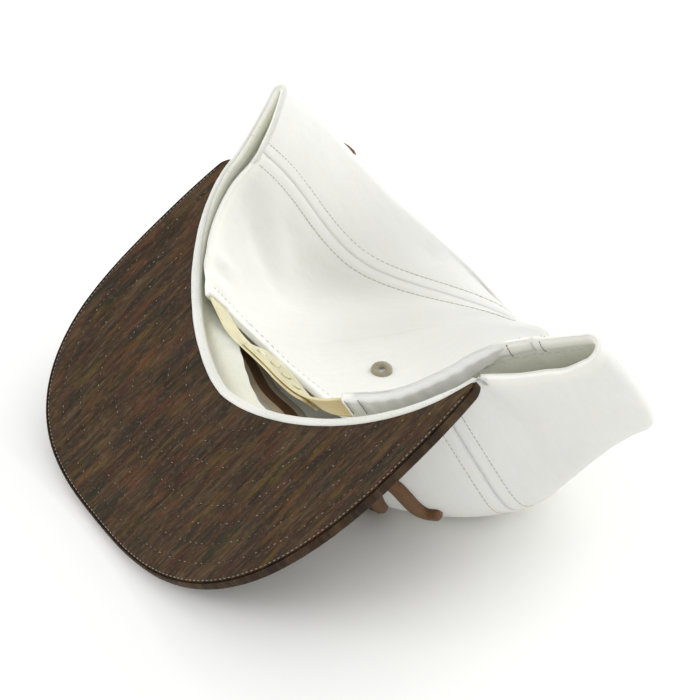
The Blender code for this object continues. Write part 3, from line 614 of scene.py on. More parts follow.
def even_places(start, end):
    """Places across a panel, about a cell apart at the rim."""
    return np.linspace(start, end, int(round(rim_length(start, end) / CELL)) + 1)


def sew_in(piece, nodes):
    """The piece belongs to the cap's one body and stands for its solids, which it hides."""
    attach(piece, "root")
    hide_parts(*nodes)


crown_front = panel("crown_front_cloth", even_places(0, 1), WHITE_TWILL, 0.0)
sew_in(crown_front, ["crown_front"])

# ---------------------------------------------------------------- crown_right and crown_left
# The two side panels: the same twill, sewn to the front and back panels. The cap folds back on
# itself down the middle of each, in a soft turn that widens towards the rim.
for side_name, side_start, hem_depth in (("right", 1, HEM_THICK), ("left", 3, 0.0)):
    side_places = even_places(side_start, side_start + 1)
    side_panel = panel(f"crown_{side_name}_cloth", side_places, WHITE_TWILL, hem_depth)
    sew_in(side_panel, [f"crown_{side_name}"])

# ---------------------------------------------------------------- crown_back
# The one-piece back panel, pushed into the front one. An arch is cut out of its lower edge above the
# strap and hemmed with one row of stitches.
ARCH_MIDDLE = 2.50
ARCH_HALF_SHARE = 0.20
ARCH_HEIGHT = 0.0440
ARCH_HALF_WIDTH = 0.040
ARCH_POWER = 3.0
ARCH_COLUMNS = 60
BACK_WIDE = 0.21
BACK_ROWS = 120
BACK_EDGE_ROWS = 70
FAR = 1.0
# Places where the rim's wide hem gives way to the arch's narrow one, and back.
HEM_STEPS = (2.24, 2.31, 2.69, 2.76)


def arch_rise(around):
    """Level of the arch's edge at a place across the back panel."""
    across = (np.asarray(around, float) - ARCH_MIDDLE) / ARCH_HALF_SHARE
    inside = np.clip(1 - np.abs(across) ** ARCH_POWER, 0, None)
    return ARCH_HEIGHT / MERIDIAN * inside ** (1 / ARCH_POWER)


def arch_places(count):
    """Places across the arch, evenly spaced along its edge."""
    wide = rim_length(ARCH_MIDDLE - ARCH_HALF_SHARE, ARCH_MIDDLE + ARCH_HALF_SHARE) / 2
    angle = np.linspace(0, math.pi / 2, 4000)
    across = np.cos(angle) ** (2 / ARCH_POWER)
    edge = np.stack([across * wide, np.sin(angle) ** (2 / ARCH_POWER) * ARCH_HEIGHT], axis=1)
    run = run_of(edge)
    half = np.interp(np.linspace(0, run[-1], count), run, across)
    return ARCH_MIDDLE + ARCH_HALF_SHARE * np.concatenate([-half, half[::-1][1:]])


left_arch, right_arch = ARCH_MIDDLE - ARCH_HALF_SHARE, ARCH_MIDDLE + ARCH_HALF_SHARE
back_places = np.concatenate([even_places(2, left_arch)[:-1], arch_places(ARCH_COLUMNS),
                              even_places(right_arch, 3)[1:]])
back_low = arch_rise(back_places)
outer, normal, across, up = crown_sheet(back_places, back_low, np.ones_like(back_low), BACK_ROWS)
near = np.full(outer.shape[:2], FAR)
near[:BACK_EDGE_ROWS] = np.linalg.norm(outer[:BACK_EDGE_ROWS, :, None] - outer[0], axis=-1).min(axis=2)
total = across[:, -1:]
height_up = up + back_low * MERIDIAN
relief = seam_relief(across, height_up) + seam_relief(total - across, height_up)
relief += HEM_PUFF * bell(near - 0.5 * HEM_WIDTH, 0.0013) - HEM_CREASE * bell(near - HEM_WIDTH, CREASE_SPREAD)
relief -= rounded_edge(near, 0.0010)
hem_wide = np.interp(back_places, HEM_STEPS, (RIM_HEM_WIDTH, HEM_WIDTH, HEM_WIDTH, RIM_HEM_WIDTH))
hem = HEM_THICK * hem_roll(near, hem_wide)
back_flat = np.stack(np.broadcast_arrays((back_places - ARCH_MIDDLE) * BACK_WIDE, height_up), axis=-1)
crown_back = cloth_mesh("crown_back_cloth", outer + normal * relief[..., None],
                        outer - normal * (CLOTH + hem - rounded_edge(near, INNER_ROUND))[..., None],
                        WHITE_TWILL, back_flat)
sew_in(crown_back, ["crown_back"])

# ---------------------------------------------------------------- topstitching
# Cotton thread, khaki along the panel seams, white along the sweatband and grey-blue along the arch:
# lockstitches of 1.8 to 2.6 mm that sink a little into the cloth. Each run is a row of real stitches.
STITCH_SIZES = ("Pitch", "Length", "Width", "Height")
SEAM_STITCH = (0.0024, 0.0026, 0.00046, 0.00030)
BAND_STITCH = (0.0030, 0.0022, 0.00042, 0.00026)
ARCH_STITCH = (0.0030, 0.0018, 0.00040, 0.00030)
TICK_STITCH = (0.0012, 0.0014, 0.00042, 0.00030)
QUILT_STITCH = (0.0026, 0.0010, 0.00038, 0.00040)
BORDER_STITCH = (0.0019, 0.0012, 0.00042, 0.00036)
STITCH_SIDES = 6
STITCH_RINGS = 5


def stitch_tree():
    """Node group: stitches of a given length, width and height, set along edges at a pitch."""
    tree = bpy.data.node_groups.new("stitch_row", "GeometryNodeTree")
    face = tree.interface
    for name in ("Geometry", *STITCH_SIZES, "Thread"):
        kind = {"Geometry": "Geometry", "Thread": "Material"}.get(name, "Float")
        face.new_socket(name=name, in_out="INPUT", socket_type="NodeSocket" + kind)
    face.new_socket(name="Geometry", in_out="OUTPUT", socket_type="NodeSocketGeometry")
    source = tree.nodes.new("NodeGroupInput")
    geometry, pitch, length, width, height, thread = (Signal(tree, output) for output in source.outputs[:6])
    node = geometry.made
    runs = node("GeometryNodeMeshToCurve", {}, {0: geometry})
    places = node("GeometryNodeResampleCurve", {"mode": "LENGTH"}, {"Curve": runs, "Length": pitch})
    stitch = node("GeometryNodeMeshUVSphere", {},
                  {"Segments": STITCH_SIDES, "Rings": STITCH_RINGS, "Radius": 0.5})
    smooth = node("GeometryNodeSetShadeSmooth", {}, {0: stitch})
    outward = node("GeometryNodeInputNamedAttribute", {"data_type": "FLOAT_VECTOR"}, {"Name": "outward"})
    tangent = node("GeometryNodeInputTangent")
    along = node("FunctionNodeAlignRotationToVector", {"axis": "X"}, {"Vector": tangent})
    upright = node("FunctionNodeAlignRotationToVector", {"axis": "Z", "pivot_axis": "X"},
                   {"Rotation": along, "Vector": outward})
    size = node("ShaderNodeCombineXYZ", {}, {0: length, 1: width, 2: height})
    sewn = node("GeometryNodeInstanceOnPoints", {}, {"Points": places, "Instance": smooth, "Rotation": upright,
                                                    "Scale": size})
    real = node("GeometryNodeRealizeInstances", {}, {0: sewn})
    dyed = node("GeometryNodeSetMaterial", {}, {"Geometry": real, "Material": thread})
    tree.links.new(dyed.socket, tree.nodes.new("NodeGroupOutput").inputs[0])
    return tree


STITCHES = stitch_tree()


def applied(piece):
    """The piece with its modifiers made into a plain mesh."""
    graph = bpy.context.evaluated_depsgraph_get()
    mesh = bpy.data.meshes.new_from_object(piece.evaluated_get(graph), depsgraph=graph)
    piece.modifiers.clear()
    piece.data = mesh
    return piece


def run_on_crown(around, levels, lift, inside=False):
    """Points and outward directions for a stitch row on the crown's outer face or its inner one."""
    points, normals = spots_on_crown(around, levels)
    shifted = points + normals * np.broadcast_to(lift, len(points))[:, None]
    return shifted, -normals if inside else normals


def stitch_runs(name, runs, finish, sizes):
    """Real stitches of one size along several runs of points, each run with its outward directions."""
    points, ways, edges = [], [], []
    for spots, outwards in runs:
        start = len(points)
        points.extend(np.asarray(spots).tolist())
        ways.extend(np.asarray(outwards).tolist())
        edges.extend((start + step, start + step + 1) for step in range(len(spots) - 1))
    mesh = bpy.data.meshes.new(name)
    mesh.from_pydata(points, edges, [])
    held = mesh.attributes.new("outward", "FLOAT_VECTOR", "POINT")
    held.data.foreach_set("vector", np.array(ways, np.float32).ravel())
    made = added(name, mesh)
    modifier = made.modifiers.new("stitches", "NODES")
    modifier.node_group = STITCHES
    values = {"Thread": finish, **dict(zip(STITCH_SIZES, sizes))}
    for socket in STITCHES.interface.items_tree:
        if socket.name in values and socket.in_out == "INPUT":
            modifier[socket.identifier] = values[socket.name]
    applied(made)
    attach(made, "root")


def thread_finish(name, colour, shade, ply=0.0004, rough=0.55):
    """Twisted sewing thread: fine oblique plies and a soft sheen."""
    made, shader, _, place = new_finish(name, {"Sheen Weight": 0.3, "Specular IOR Level": 0.35})
    along, side, deep = place.parts()
    twist = (along + side * 0.8 + deep * 0.6).wave(ply)
    tone = place.noise(160.0, 2.0) * 0.6 + twist * 0.4
    feed(shader, colour=tone.between(0.25, 0.75).ramp((0.0, shade), (1.0, colour)),
         rough=rough + 0.15 * twist, normal=twist.bump(0.00008))
    return made


KHAKI_THREAD = thread_finish("khaki_thread", (0.55, 0.53, 0.42), (0.37, 0.36, 0.28))


def row_beside_seam(seam, distance, low=0.006, high=0.97, count=160):
    """A stitch row at a distance beside a seam, along the crown's levels, on the outer cloth."""
    levels = np.linspace(low, high, count)
    reach = np.sign(distance) * np.linspace(0, 0.16, 40)
    sheet, _ = crown_surface(seam + reach, levels)
    run, _ = flat_sizes(sheet)
    around = np.array([np.interp(abs(distance), row, seam + reach) for row in run])
    return run_on_crown(around, levels, -ROW_DIP * 0.6)


seam_runs = [row_beside_seam(seam, side * SEAM_ROW) for seam in (1.0, 2.0, 3.0, 4.0) for side in (-1, 1)]
stitch_runs("seam_topstitching", seam_runs, KHAKI_THREAD, SEAM_STITCH)

# ---------------------------------------------------------------- sweatband
# Folded strip of plain woven cotton inside the rim, sewn along it from one side of the arch round the
# front to the other. Its first 6 mm are padded by the fold; its free edge stands off the front panel.
STRAP_TUCK = 0.010
SWEATBAND_BACK_OFF = 0.003
SWEATBAND_WIDTH = 0.030
BAND_ROWS = 34
BAND_THICK = 0.0009
BAND_ROLL = 0.0062
BAND_PUFF = 0.0011
BAND_FREE = 0.006
BAND_LEAN = 0.0098
BAND_CREASE = 0.00015
BAND_CREASE_PITCH = 0.011
BAND_LIP = 0.0012
# Heights above the rim of the stitches along the left and front panels, and along the right one.
BAND_ROW_HEIGHTS = (0.0026, 0.0077)


def flecked_finish(name, shade, colour):
    """Plain weave with the pin-pricks of its many stitches."""
    made, shader, cloth, place = new_finish(name, {"Sheen Weight": 0.2, **SOFT_CLOTH})
    across, up, _ = cloth.parts()
    warp = across.wave(0.0007)
    cells = cloth.made("ShaderNodeTexVoronoi", {"feature": "F1", "voronoi_dimensions": "2D"},
                       {"Vector": cloth.stretched(480.0, 520.0), "Scale": 1.0, "Randomness": 1.0})
    prick = (1.0 - cells.between(0.10, 0.20)) * cloth.noise(900.0, 1.0).between(0.50, 0.56)
    tone = place.noise(40.0, 3.0).between(0.3, 0.7).ramp((0.0, shade), (1.0, colour))
    height = warp * 0.4 + up.wave(0.0007) * 0.4 - prick * 0.4 + cloth.noise(1800.0, 2.0) * 0.4
    feed(shader, colour=tone.tint(prick * 0.30, (0.36, 0.37, 0.34)), rough=0.9 - 0.05 * warp,
         normal=height.bump(0.00012))
    return made


# One sweatband cloth in two copies: the band's is painted lighter and yellower to lift its shaded crescent
# (painted light), the rim roll's is painted greyer to dim its lit face (painted shade).
BAND_CLOTH_PAINTED_LIGHT = flecked_finish("sweatband_cloth", (0.87, 0.875, 0.74), (0.90, 0.90, 0.79))
RIM_CLOTH_PAINTED_SHADE = flecked_finish("rim_cloth_painted_shade", (0.69, 0.695, 0.64), (0.76, 0.765, 0.71))
arch_clear = ARCH_HALF_SHARE + (STRAP_TUCK + SWEATBAND_BACK_OFF) / rim_length(2, 3)
band_end = ARCH_MIDDLE - arch_clear + 4
band_marks = (ARCH_MIDDLE + arch_clear, 3, 4, 5, 6, band_end)
band_places = [even_places(*ends)[:-1] for ends in zip(band_marks, band_marks[1:])]
band_places = np.concatenate(band_places + [[band_end]])
outer, normal, across, up = crown_sheet(band_places, np.zeros_like(band_places),
                                        np.full_like(band_places, SWEATBAND_WIDTH / MERIDIAN), BAND_ROWS)
open_rim = np.clip((band_places - 3.0) / 0.05, 0, 1) * np.clip((5.0 - band_places) / 0.03, 0, 1)
front_only = np.sin(np.clip((band_places - 4.02) / 0.86, 0, 1) * math.pi) ** 0.8
roll = np.clip(1 - ((up - 0.5 * BAND_ROLL) / (0.5 * BAND_ROLL)) ** 2, 0, 1) ** 0.5 * open_rim
lean = np.clip((up - BAND_FREE) / (SWEATBAND_WIDTH - BAND_FREE), 0, 1) ** 1.3 * BAND_LEAN * front_only \
    * (0.86 + 0.14 * np.sin(band_places * 15.0 + 0.6))
near_depth = CLOTH + CLEAR + lean
far_depth = near_depth + BAND_THICK + BAND_PUFF * roll - rounded_edge(up, 0.0010)
far_depth += BAND_CREASE * sine_of(across, BAND_CREASE_PITCH) * (up > 2 * BAND_FREE)
lip = CLOTH * open_rim * np.clip(1 - up / BAND_LIP, 0, 1)
sweatband = cloth_mesh("sweatband_cloth", outer - normal * (near_depth - 0.6 * lip)[..., None],
                       outer - normal * far_depth[..., None], BAND_CLOTH_PAINTED_LIGHT, np.stack([across, up], axis=-1))
sew_in(sweatband, ["sweatband"])

WHITE_THREAD = thread_finish("white_thread", (0.84, 0.84, 0.80), (0.62, 0.63, 0.60))
band_face = CLOTH + BAND_THICK
band_lower, band_upper = (height / MERIDIAN for height in BAND_ROW_HEIGHTS)
stitch_runs("sweatband_stitches", [
    run_on_crown(np.linspace(3.02, 5.0, 240), band_lower, -(band_face + BAND_PUFF), True),
    run_on_crown(np.linspace(5.02, band_end - 0.01, 160), band_upper, -(band_face + 0.0003), True)],
    WHITE_THREAD, BAND_STITCH)

# Where the right-hand back seam and the hem's end cross the inner hem, the topstitching shows as
# short dark ticks of khaki thread that wrap over the rim.
# The thread of these ticks is painted far darker than the seams' khaki: painted shade.
TICK_THREAD_PAINTED_SHADE = thread_finish("tick_thread_painted_shade", (0.22, 0.21, 0.18), (0.12, 0.12, 0.11))


def tick_across_hem(around):
    """A stitch row up the inside of the hem at one place."""
    up = np.linspace(0.0004, RIM_HEM_WIDTH + 0.0004, 13)
    depth = CLOTH + HEM_THICK * hem_roll(up, RIM_HEM_WIDTH) + 0.0001
    return run_on_crown(around, up / MERIDIAN, -depth, True)


stitch_runs("hem_ticks", [tick_across_hem(place) for place in (1.968, 2.037)],
            TICK_THREAD_PAINTED_SHADE, TICK_STITCH)

# ---------------------------------------------------------------- rim_binding
# The fold of the sweatband that wraps the raw edges at the rim: a soft white roll, thin along the
# left panel and thickest round the front, where the brim is sewn in with it.
ROLL_SIDES = 16
ROLL_GIRTH = 0.0015
# How far the roll's face stands out from the crown's, and its middle above the crown's edge.
ROLL_OUT = 0.0002
ROLL_UP = 0.0006


def rim_roll(name, start, end, count, places, depths, heights, finish):
    """A closed soft tube along the rim, its half depth and half height varying along it."""
    around = np.linspace(start, end, count)
    points, normals = spots_on_crown(around, 0.0)
    above, _ = spots_on_crown(around, 0.004)
    upward = unit(above - points)
    deep = np.interp(around, places, depths)
    high = np.interp(around, places, heights)
    tip = round_rise(np.minimum(np.arange(count), np.arange(count)[::-1]) / 4, 0.02)
    uneven = 1 + 0.03 * np.sin(around * 47) + 0.02 * np.sin(around * 113 + 1)
    angle = -np.linspace(0, 2 * math.pi, ROLL_SIDES, endpoint=False)
    out = ROLL_OUT - deep + deep * np.cos(angle)[:, None] * tip * uneven
    up = ROLL_UP + high * np.sin(angle)[:, None] * tip
    return tube_mesh(name, points + normals * out[..., None] + upward * up[..., None], run_of(points),
                     angle * ROLL_GIRTH, finish)


# The roll uses the greyer copy of the sweatband cloth: painted shade.
rim_binding = rim_roll("rim_binding", 2.97, 5.22, 600, (2.97, 3.6, 4.0, 4.2, 4.9, 5.05, 5.14, 5.22),
                       (0.0010, 0.0010, 0.0013, 0.0019, 0.0019, 0.0014, 0.0009, 0.0006),
                       (0.0010, 0.0010, 0.0012, 0.0014, 0.0014, 0.0011, 0.0008, 0.0005), RIM_CLOTH_PAINTED_SHADE)
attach(rim_binding, "root")

# ---------------------------------------------------------------- arch stitching
# One row of grey-blue cotton lockstitches, a hem's width off the edge, holds the turned-in hem of
# the arch.
GREY_THREAD = thread_finish("grey_thread", (0.50, 0.53, 0.55), (0.34, 0.36, 0.38))
arch_off = arch_places(ARCH_COLUMNS)[2:-2] - ARCH_MIDDLE
arch_above = HEM_WIDTH / MERIDIAN * (1 - np.abs(arch_off) / ARCH_HALF_SHARE * 0.5)
arch_level = arch_rise(arch_off + ARCH_MIDDLE) + arch_above
arch_run = run_on_crown(ARCH_MIDDLE + arch_off * (1 + HEM_WIDTH / ARCH_HALF_WIDTH), arch_level, -0.0001)
stitch_runs("arch_stitches", [arch_run], GREY_THREAD, ARCH_STITCH)

# ---------------------------------------------------------------- brim_underside
# The under cover of the brim: cotton printed as dark striped wood, glued and quilted to the stiff
# board with arcs of stitches that follow the outer edge, and stitched down close to its border.
BRIM_REACH = 0.0680
BRIM_WIDEST = 0.034
BRIM_CORNER_INSET = 0.0018
BRIM_OUTLINE_POWER = 2.8
BRIM_TOP_THICK = 0.0032
BRIM_UNDER_THICK = 0.0014
BRIM_WRAP = 0.0012
BRIM_UNDER_CLEAR = 0.0002
BRIM_UPPER_CLEAR = 0.0006
BRIM_TRIM = 0.992
BRIM_PINCH = 0.75
BRIM_PINCH_START = 0.970
GAP = 0.0003
ARC_FIRST = 0.0078
ARC_PITCH = 0.0072
ARC_COUNT = 8
ARC_DIP = 0.00028
ARC_CLEAR = 0.0024
ARC_START = 0.004


def along(curve, shares):
    """Points at shares of a polyline's length."""
    run = run_of(curve)
    places = np.asarray(shares) * run[-1]
    return np.stack([np.interp(places, run, curve[:, axis]) for axis in range(curve.shape[1])], axis=-1)


def outline_share(count):
    """Shares along the brim from the left corner to the right one, closer together at the corners."""
    return np.sin(np.linspace(-math.pi / 2, math.pi / 2, count))


def mirrored(half, shares):
    """Points at shares from -1 to 1 along an outline whose right half is given from its middle."""
    return along(np.concatenate([half[::-1] * (-1, 1), half[1:]]), (np.asarray(shares) + 1) / 2)


def brim_outer(shares, inset):
    """Outer edge of the brim in plan, inset evenly."""
    wide = BRIM_HALF_WIDTH - inset
    reach = JUNCTION_DEPTH + BRIM_REACH - inset - BRIM_WIDEST
    angle = np.linspace(0, math.pi / 2, 240)
    power = 2 / BRIM_OUTLINE_POWER
    ahead = np.stack([wide * np.sin(angle) ** power, BRIM_WIDEST + reach * np.cos(angle) ** power], axis=1)
    drop = np.linspace(0, 1, 40)[1:]
    side = np.stack([wide - BRIM_CORNER_INSET * drop ** 2, BRIM_WIDEST * (1 - drop)], axis=1)
    return mirrored(np.concatenate([ahead, side]), shares)


def brim_inner(shares, clearance):
    """Inner edge of the brim in plan, just outside the rim of the crown, with its outward directions."""
    half = front_arc(LEVEL_ROWS[0], 1)
    spots = mirrored(half[half[:, 1] >= -1e-9], shares)
    tangent = np.gradient(spots, axis=0)
    outward = unit(np.stack([-tangent[:, 1], tangent[:, 0]], axis=1))
    return spots + outward * clearance, outward


def brim_surface(plan, height):
    """Points of the gently bent brim over a plan, at a height above its underside, laid on the table."""
    across = plan[..., 0]
    slope = across * BRIM_BEND / BRIM_HALF_WIDTH
    tilt = np.sqrt(1 + slope ** 2)
    points = [across + height * slope / tilt, plan[..., 1], height / tilt - brim_drop(across)]
    return place_stiff(np.stack(points, axis=-1))


def brim_plan(columns, rows, outer_inset, clearance, edge):
    """Plan of a brim cover from its outer edge inwards, rows bunched at the edge, and their distances."""
    shares = outline_share(columns) * BRIM_TRIM
    inner, _ = brim_inner(shares, clearance)
    late = (np.abs(shares) - BRIM_PINCH_START) / (BRIM_TRIM - BRIM_PINCH_START)
    pinch = BRIM_PINCH * np.clip(late, 0, 1)[:, None] ** 2
    outer = brim_outer(shares, outer_inset) * (1 - pinch) + inner * pinch
    wide = np.linalg.norm(inner - outer, axis=1)
    border = np.asarray(edge)[:, None] * np.minimum(1, 0.8 * wide / edge[-1])
    inside = border[-1] + (wide - border[-1]) * np.linspace(0, 1, rows)[1:, None]
    distance = np.concatenate([border, inside])
    return outer + (inner - outer) * (distance / wide)[..., None], distance


def brim_arcs():
    """Quilting arcs in plan, parallel to the outer edge, as far as the crown's rim."""
    rim, outward = brim_inner(np.linspace(-1, 1, 400), 0.0)
    arcs = []
    for index in range(ARC_COUNT):
        arc = brim_outer(np.linspace(-1, 1, 700), ARC_FIRST + index * ARC_PITCH)
        nearest = np.argmin(np.linalg.norm(arc[:, None] - rim[None], axis=2), axis=1)
        clear = ((arc - rim[nearest]) * outward[nearest]).sum(axis=1)
        arcs.append(arc[(clear > ARC_CLEAR) & (arc[:, 1] > ARC_START)])
    return arcs


def wood_print(name, colours):
    """Printed wood: long streaks along the cap's forward direction on the plan's UV map in metres."""
    made, shader, plan, place = new_finish(name, {
        "Sheen Weight": 0.03, "Sheen Roughness": 0.5, "Specular IOR Level": 0.14})
    sway = plan.stretched(14.0, 9.0).noise(1.0, 2.0) - 0.5
    bent = plan.placed("ADD", sway.made("ShaderNodeCombineXYZ", {}, {0: sway * 0.006}))

    def streak(width, length, offset, detail=2.0):
        moved = bent.placed("ADD", (offset, offset * 1.7, 0.0))
        return moved.stretched(1 / width, 1 / length).noise(1.0, detail, 0.55)

    fine = streak(0.0006, 0.0065, 0.11, 3.0)
    middle = streak(0.0018, 0.020, 0.37)
    broad = streak(0.0065, 0.055, 0.53)
    tone = (fine * 0.36 + middle * 0.40 + broad * 0.24).between(0.30, 0.70)
    base = tone.ramp((0.0, (0.0154, 0.0103, 0.0065)), (0.40, (0.0385, 0.0232, 0.0129)),
                     (0.70, (0.0631, 0.0387, 0.0205)), (1.0, (0.1001, 0.0671, 0.0357)))
    for width, length, offset, low, high, share, tint in (
            (0.0034, 0.026, 0.71, 0.54, 0.68, 0.50, (0.1078, 0.0688, 0.0106)),
            (0.0030, 0.024, 0.93, 0.54, 0.68, 0.42, (0.1270, 0.0499, 0.0152)),
            (0.0034, 0.022, 1.31, 0.54, 0.68, 0.40, (0.0963, 0.0258, 0.0152)),
            (0.0044, 0.030, 1.73, 0.53, 0.68, 0.72, (0.0154, 0.0189, 0.0129)),
            (0.0056, 0.036, 2.11, 0.53, 0.68, 0.50, (0.0354, 0.0206, 0.0182)),
            (0.0009, 0.0032, 3.17, 0.56, 0.68, 0.42, (0.1309, 0.0903, 0.0517))):
        base = base.tint(streak(width, length, offset).between(low, high) * (share * colours), tint)
    pores = streak(0.0004, 0.0040, 2.57, 1.0)
    base = base.tint((1.0 - pores.between(0.30, 0.42)) * 0.5, (0.0123, 0.0095, 0.0061))
    across, ahead, _ = plan.parts()
    weave = across.ripple(0.0006) * 0.5 + ahead.ripple(0.0006) * 0.5
    slub = plan.noise(1500.0, 2.0)
    glint = plan.noise(1150.0, 1.0).between(0.66, 0.74)
    base = base.tint(glint * 0.22, (0.1694, 0.1462, 0.0836))
    feed(shader, colour=base, rough=0.80 - 0.08 * slub,
         normal=place.noise(60.0, 3.0).bump(0.0008, 0.30, (weave * 0.3 + slub * 0.7).bump(0.00012)))
    return made


WOOD_PRINT = wood_print("wood_print", 1.0)
EDGE_PRINT = wood_print("wood_print_edge", 0.25)
ARCS = brim_arcs()
under_plan, under_edge = brim_plan(300, 84, BRIM_WRAP, BRIM_UNDER_CLEAR,
                                   (0, 0.00012, 0.00030, 0.0006, 0.0010, 0.0014, 0.0018))
groove = np.full(under_plan.shape[:2], FAR)
for arc in ARCS:
    for row in range(len(groove)):
        apart = np.linalg.norm(under_plan[row][:, None] - arc[None, ::2], axis=2).min(axis=1)
        groove[row] = np.minimum(groove[row], apart)
under_height = 0.0009 * np.clip(1 - under_edge / 0.0006, 0, 1) ** 2.5 + ARC_DIP * bell(groove, 0.0009)
under_height += 0.00016 * bell(under_edge - 0.0009, 0.0005)
brim_under = cloth_mesh("brim_underside_cover",
                        brim_surface(under_plan, np.full_like(under_height, BRIM_UNDER_THICK)),
                        brim_surface(under_plan, np.minimum(under_height, BRIM_UNDER_THICK - CLEAR)),
                        WOOD_PRINT, under_plan)
sew_in(brim_under, ["brim_underside"])

# ---------------------------------------------------------------- brim_top
# The upper cover, of the same print, drawn over the board and wrapped round its edge, so that it
# shows as a rounded band beyond the edge seam.
upper_plan, upper_edge = brim_plan(300, 60, 0.0, BRIM_UPPER_CLEAR, (
    0, 0.00008, 0.0002, 0.0004, 0.0006, 0.0008, 0.0010, 0.0012, 0.0016, 0.0022))
upper_base = BRIM_UNDER_THICK + GAP
seen_height = np.interp(upper_edge, (0, 0.00008, 0.0002, 0.0004, 0.0006, 0.0008, 0.0010, 0.0012),
                        (0.0018, 0.0011, 0.0007, 0.0004, 0.00045, 0.0007, 0.0012, upper_base))
hidden_height = upper_base + BRIM_TOP_THICK - 0.0012 * np.clip(1 - upper_edge / 0.0007, 0, 1) ** 2.2
brim_upper = cloth_mesh("brim_top_cover", brim_surface(upper_plan, hidden_height),
                        brim_surface(upper_plan, seen_height), EDGE_PRINT, upper_plan)
sew_in(brim_upper, ["brim_top"])


def speckled_thread():
    """Brown quilting thread, of which only some stitches catch the light as cream dots."""
    made, shader, _, place = new_finish("quilting_thread", {"Sheen Weight": 0.2, "Specular IOR Level": 0.4})
    lit = place.noise(420.0, 1.0).between(0.48, 0.66)
    feed(shader, colour=lit.ramp((0.0, (0.060, 0.038, 0.024)), (1.0, (0.27, 0.23, 0.17))),
         rough=0.55 + 0.1 * lit)
    return made


def brim_run(plan, height):
    """A stitch row over a plan on the under cover, facing down in the cap's frame."""
    spots = brim_surface(plan, np.full(len(plan), height))
    lower = brim_surface(plan, np.full(len(plan), height - 0.001))
    return spots, unit(lower - spots)


QUILTING_THREAD = speckled_thread()
stitch_runs("brim_quilting", [brim_run(arc, ARC_DIP * 0.45) for arc in ARCS],
            QUILTING_THREAD, QUILT_STITCH)
CREAM_THREAD = thread_finish("cream_thread", (0.36, 0.33, 0.26), (0.15, 0.13, 0.10))
border = brim_outer(np.linspace(-0.955, 0.955, 1400), BRIM_WRAP + 0.0004)
stitch_runs("brim_edge_stitches", [brim_run(border, 0.00015)], CREAM_THREAD, BORDER_STITCH)

# ---------------------------------------------------------------- strap_peg_half and strap_hole_half
# Two moulded strips of cream plastic, closed across the arch: round pegs on the inner one pass
# through holes in the outer one. Each has a raised bead along both edges and fine ribs between.
STRAP_WIDTH = 0.0130
STRAP_THICK = 0.0012
STRAP_RISE = 0.001
STRAP_EASE = (0.62, 0.80)
STRAP_LEAN_PLACE = 2.53
STRAP_LEAN_SPREAD = 0.12
STRAP_LEAN_WAY = (-0.12, 0.98, -0.15)
STRAP_SHIFT = (0.0050, 0.0080, 0.0014)
STRAP_TWIST = 0.40
STRAP_BULGE = 0.45
STRAP_BULGE_PLACE = 2.60
STRAP_BULGE_SPREAD = 0.05
PEG_COUNT = 5
PEG_PITCH = 0.0085
PEG_RADIUS = 0.0018
HOLE_RADIUS = 0.0023
PUNCH_HALF = 0.0015
ARCH_RIM = rim_length(ARCH_MIDDLE - ARCH_HALF_SHARE, ARCH_MIDDLE + ARCH_HALF_SHARE)


def arch_reach(metres):
    """Place units across the arch for a length along the rim."""
    return metres * 2 * ARCH_HALF_SHARE / ARCH_RIM


def strap_frame(around):
    """Middle line of the strap, its upward and outward directions, where it twists as it is pushed in."""
    middle = (STRAP_RISE + 0.5 * STRAP_WIDTH) / MERIDIAN
    step = 0.25 * STRAP_WIDTH / MERIDIAN
    grid, normal = crown_surface(np.asarray(around), np.array([middle - step, middle, middle + step]))
    upward = unit(grid[2] - grid[0])
    lean = bell(np.asarray(around) - STRAP_LEAN_PLACE, STRAP_LEAN_SPREAD)[:, None]
    turned = unit(upward * (1 - STRAP_TWIST * lean) + np.array(STRAP_LEAN_WAY) * STRAP_TWIST * lean)
    middle_line = grid[1] + (turned - upward) * STRAP_WIDTH / 2 + np.array(STRAP_SHIFT) * lean
    return middle_line, turned, unit(np.cross(turned, np.cross(normal[1], turned)))


def strap_finish():
    """Cream plastic that lets some light through, yellower and tan towards its anchored end."""
    made, shader, strip, place = new_finish("strap_plastic", {
        "Specular IOR Level": 0.5, "Subsurface Weight": 0.35, "Subsurface Radius": (0.004, 0.003, 0.0015),
        "Subsurface Scale": 1.0, "Coat Weight": 0.15, "Coat Roughness": 0.3})
    run, across, _ = strip.parts()
    tan = run.between(0.030, 0.105)
    cloud = place.noise(120.0, 2.0)
    base = cloud.between(0.3, 0.7).ramp((0.0, (0.58, 0.53, 0.33)), (1.0, (0.70, 0.65, 0.43)))
    base = base.tint(tan * 0.85, (0.55, 0.34, 0.15))
    rib = across.ripple(0.0021)
    # The rib grooves are tinted darker than the plastic: painted shade in the grooves.
    feed(shader, colour=base.tint(rib.between(-1.0, -0.2) * -0.5 + 0.5, (0.50, 0.42, 0.22)),
         rough=0.34 + 0.10 * cloud, normal=rib.bump(0.00018, 0.6, place.noise(900.0, 2.0).bump(0.00004)))
    return made


STRAP_PLASTIC = strap_finish()


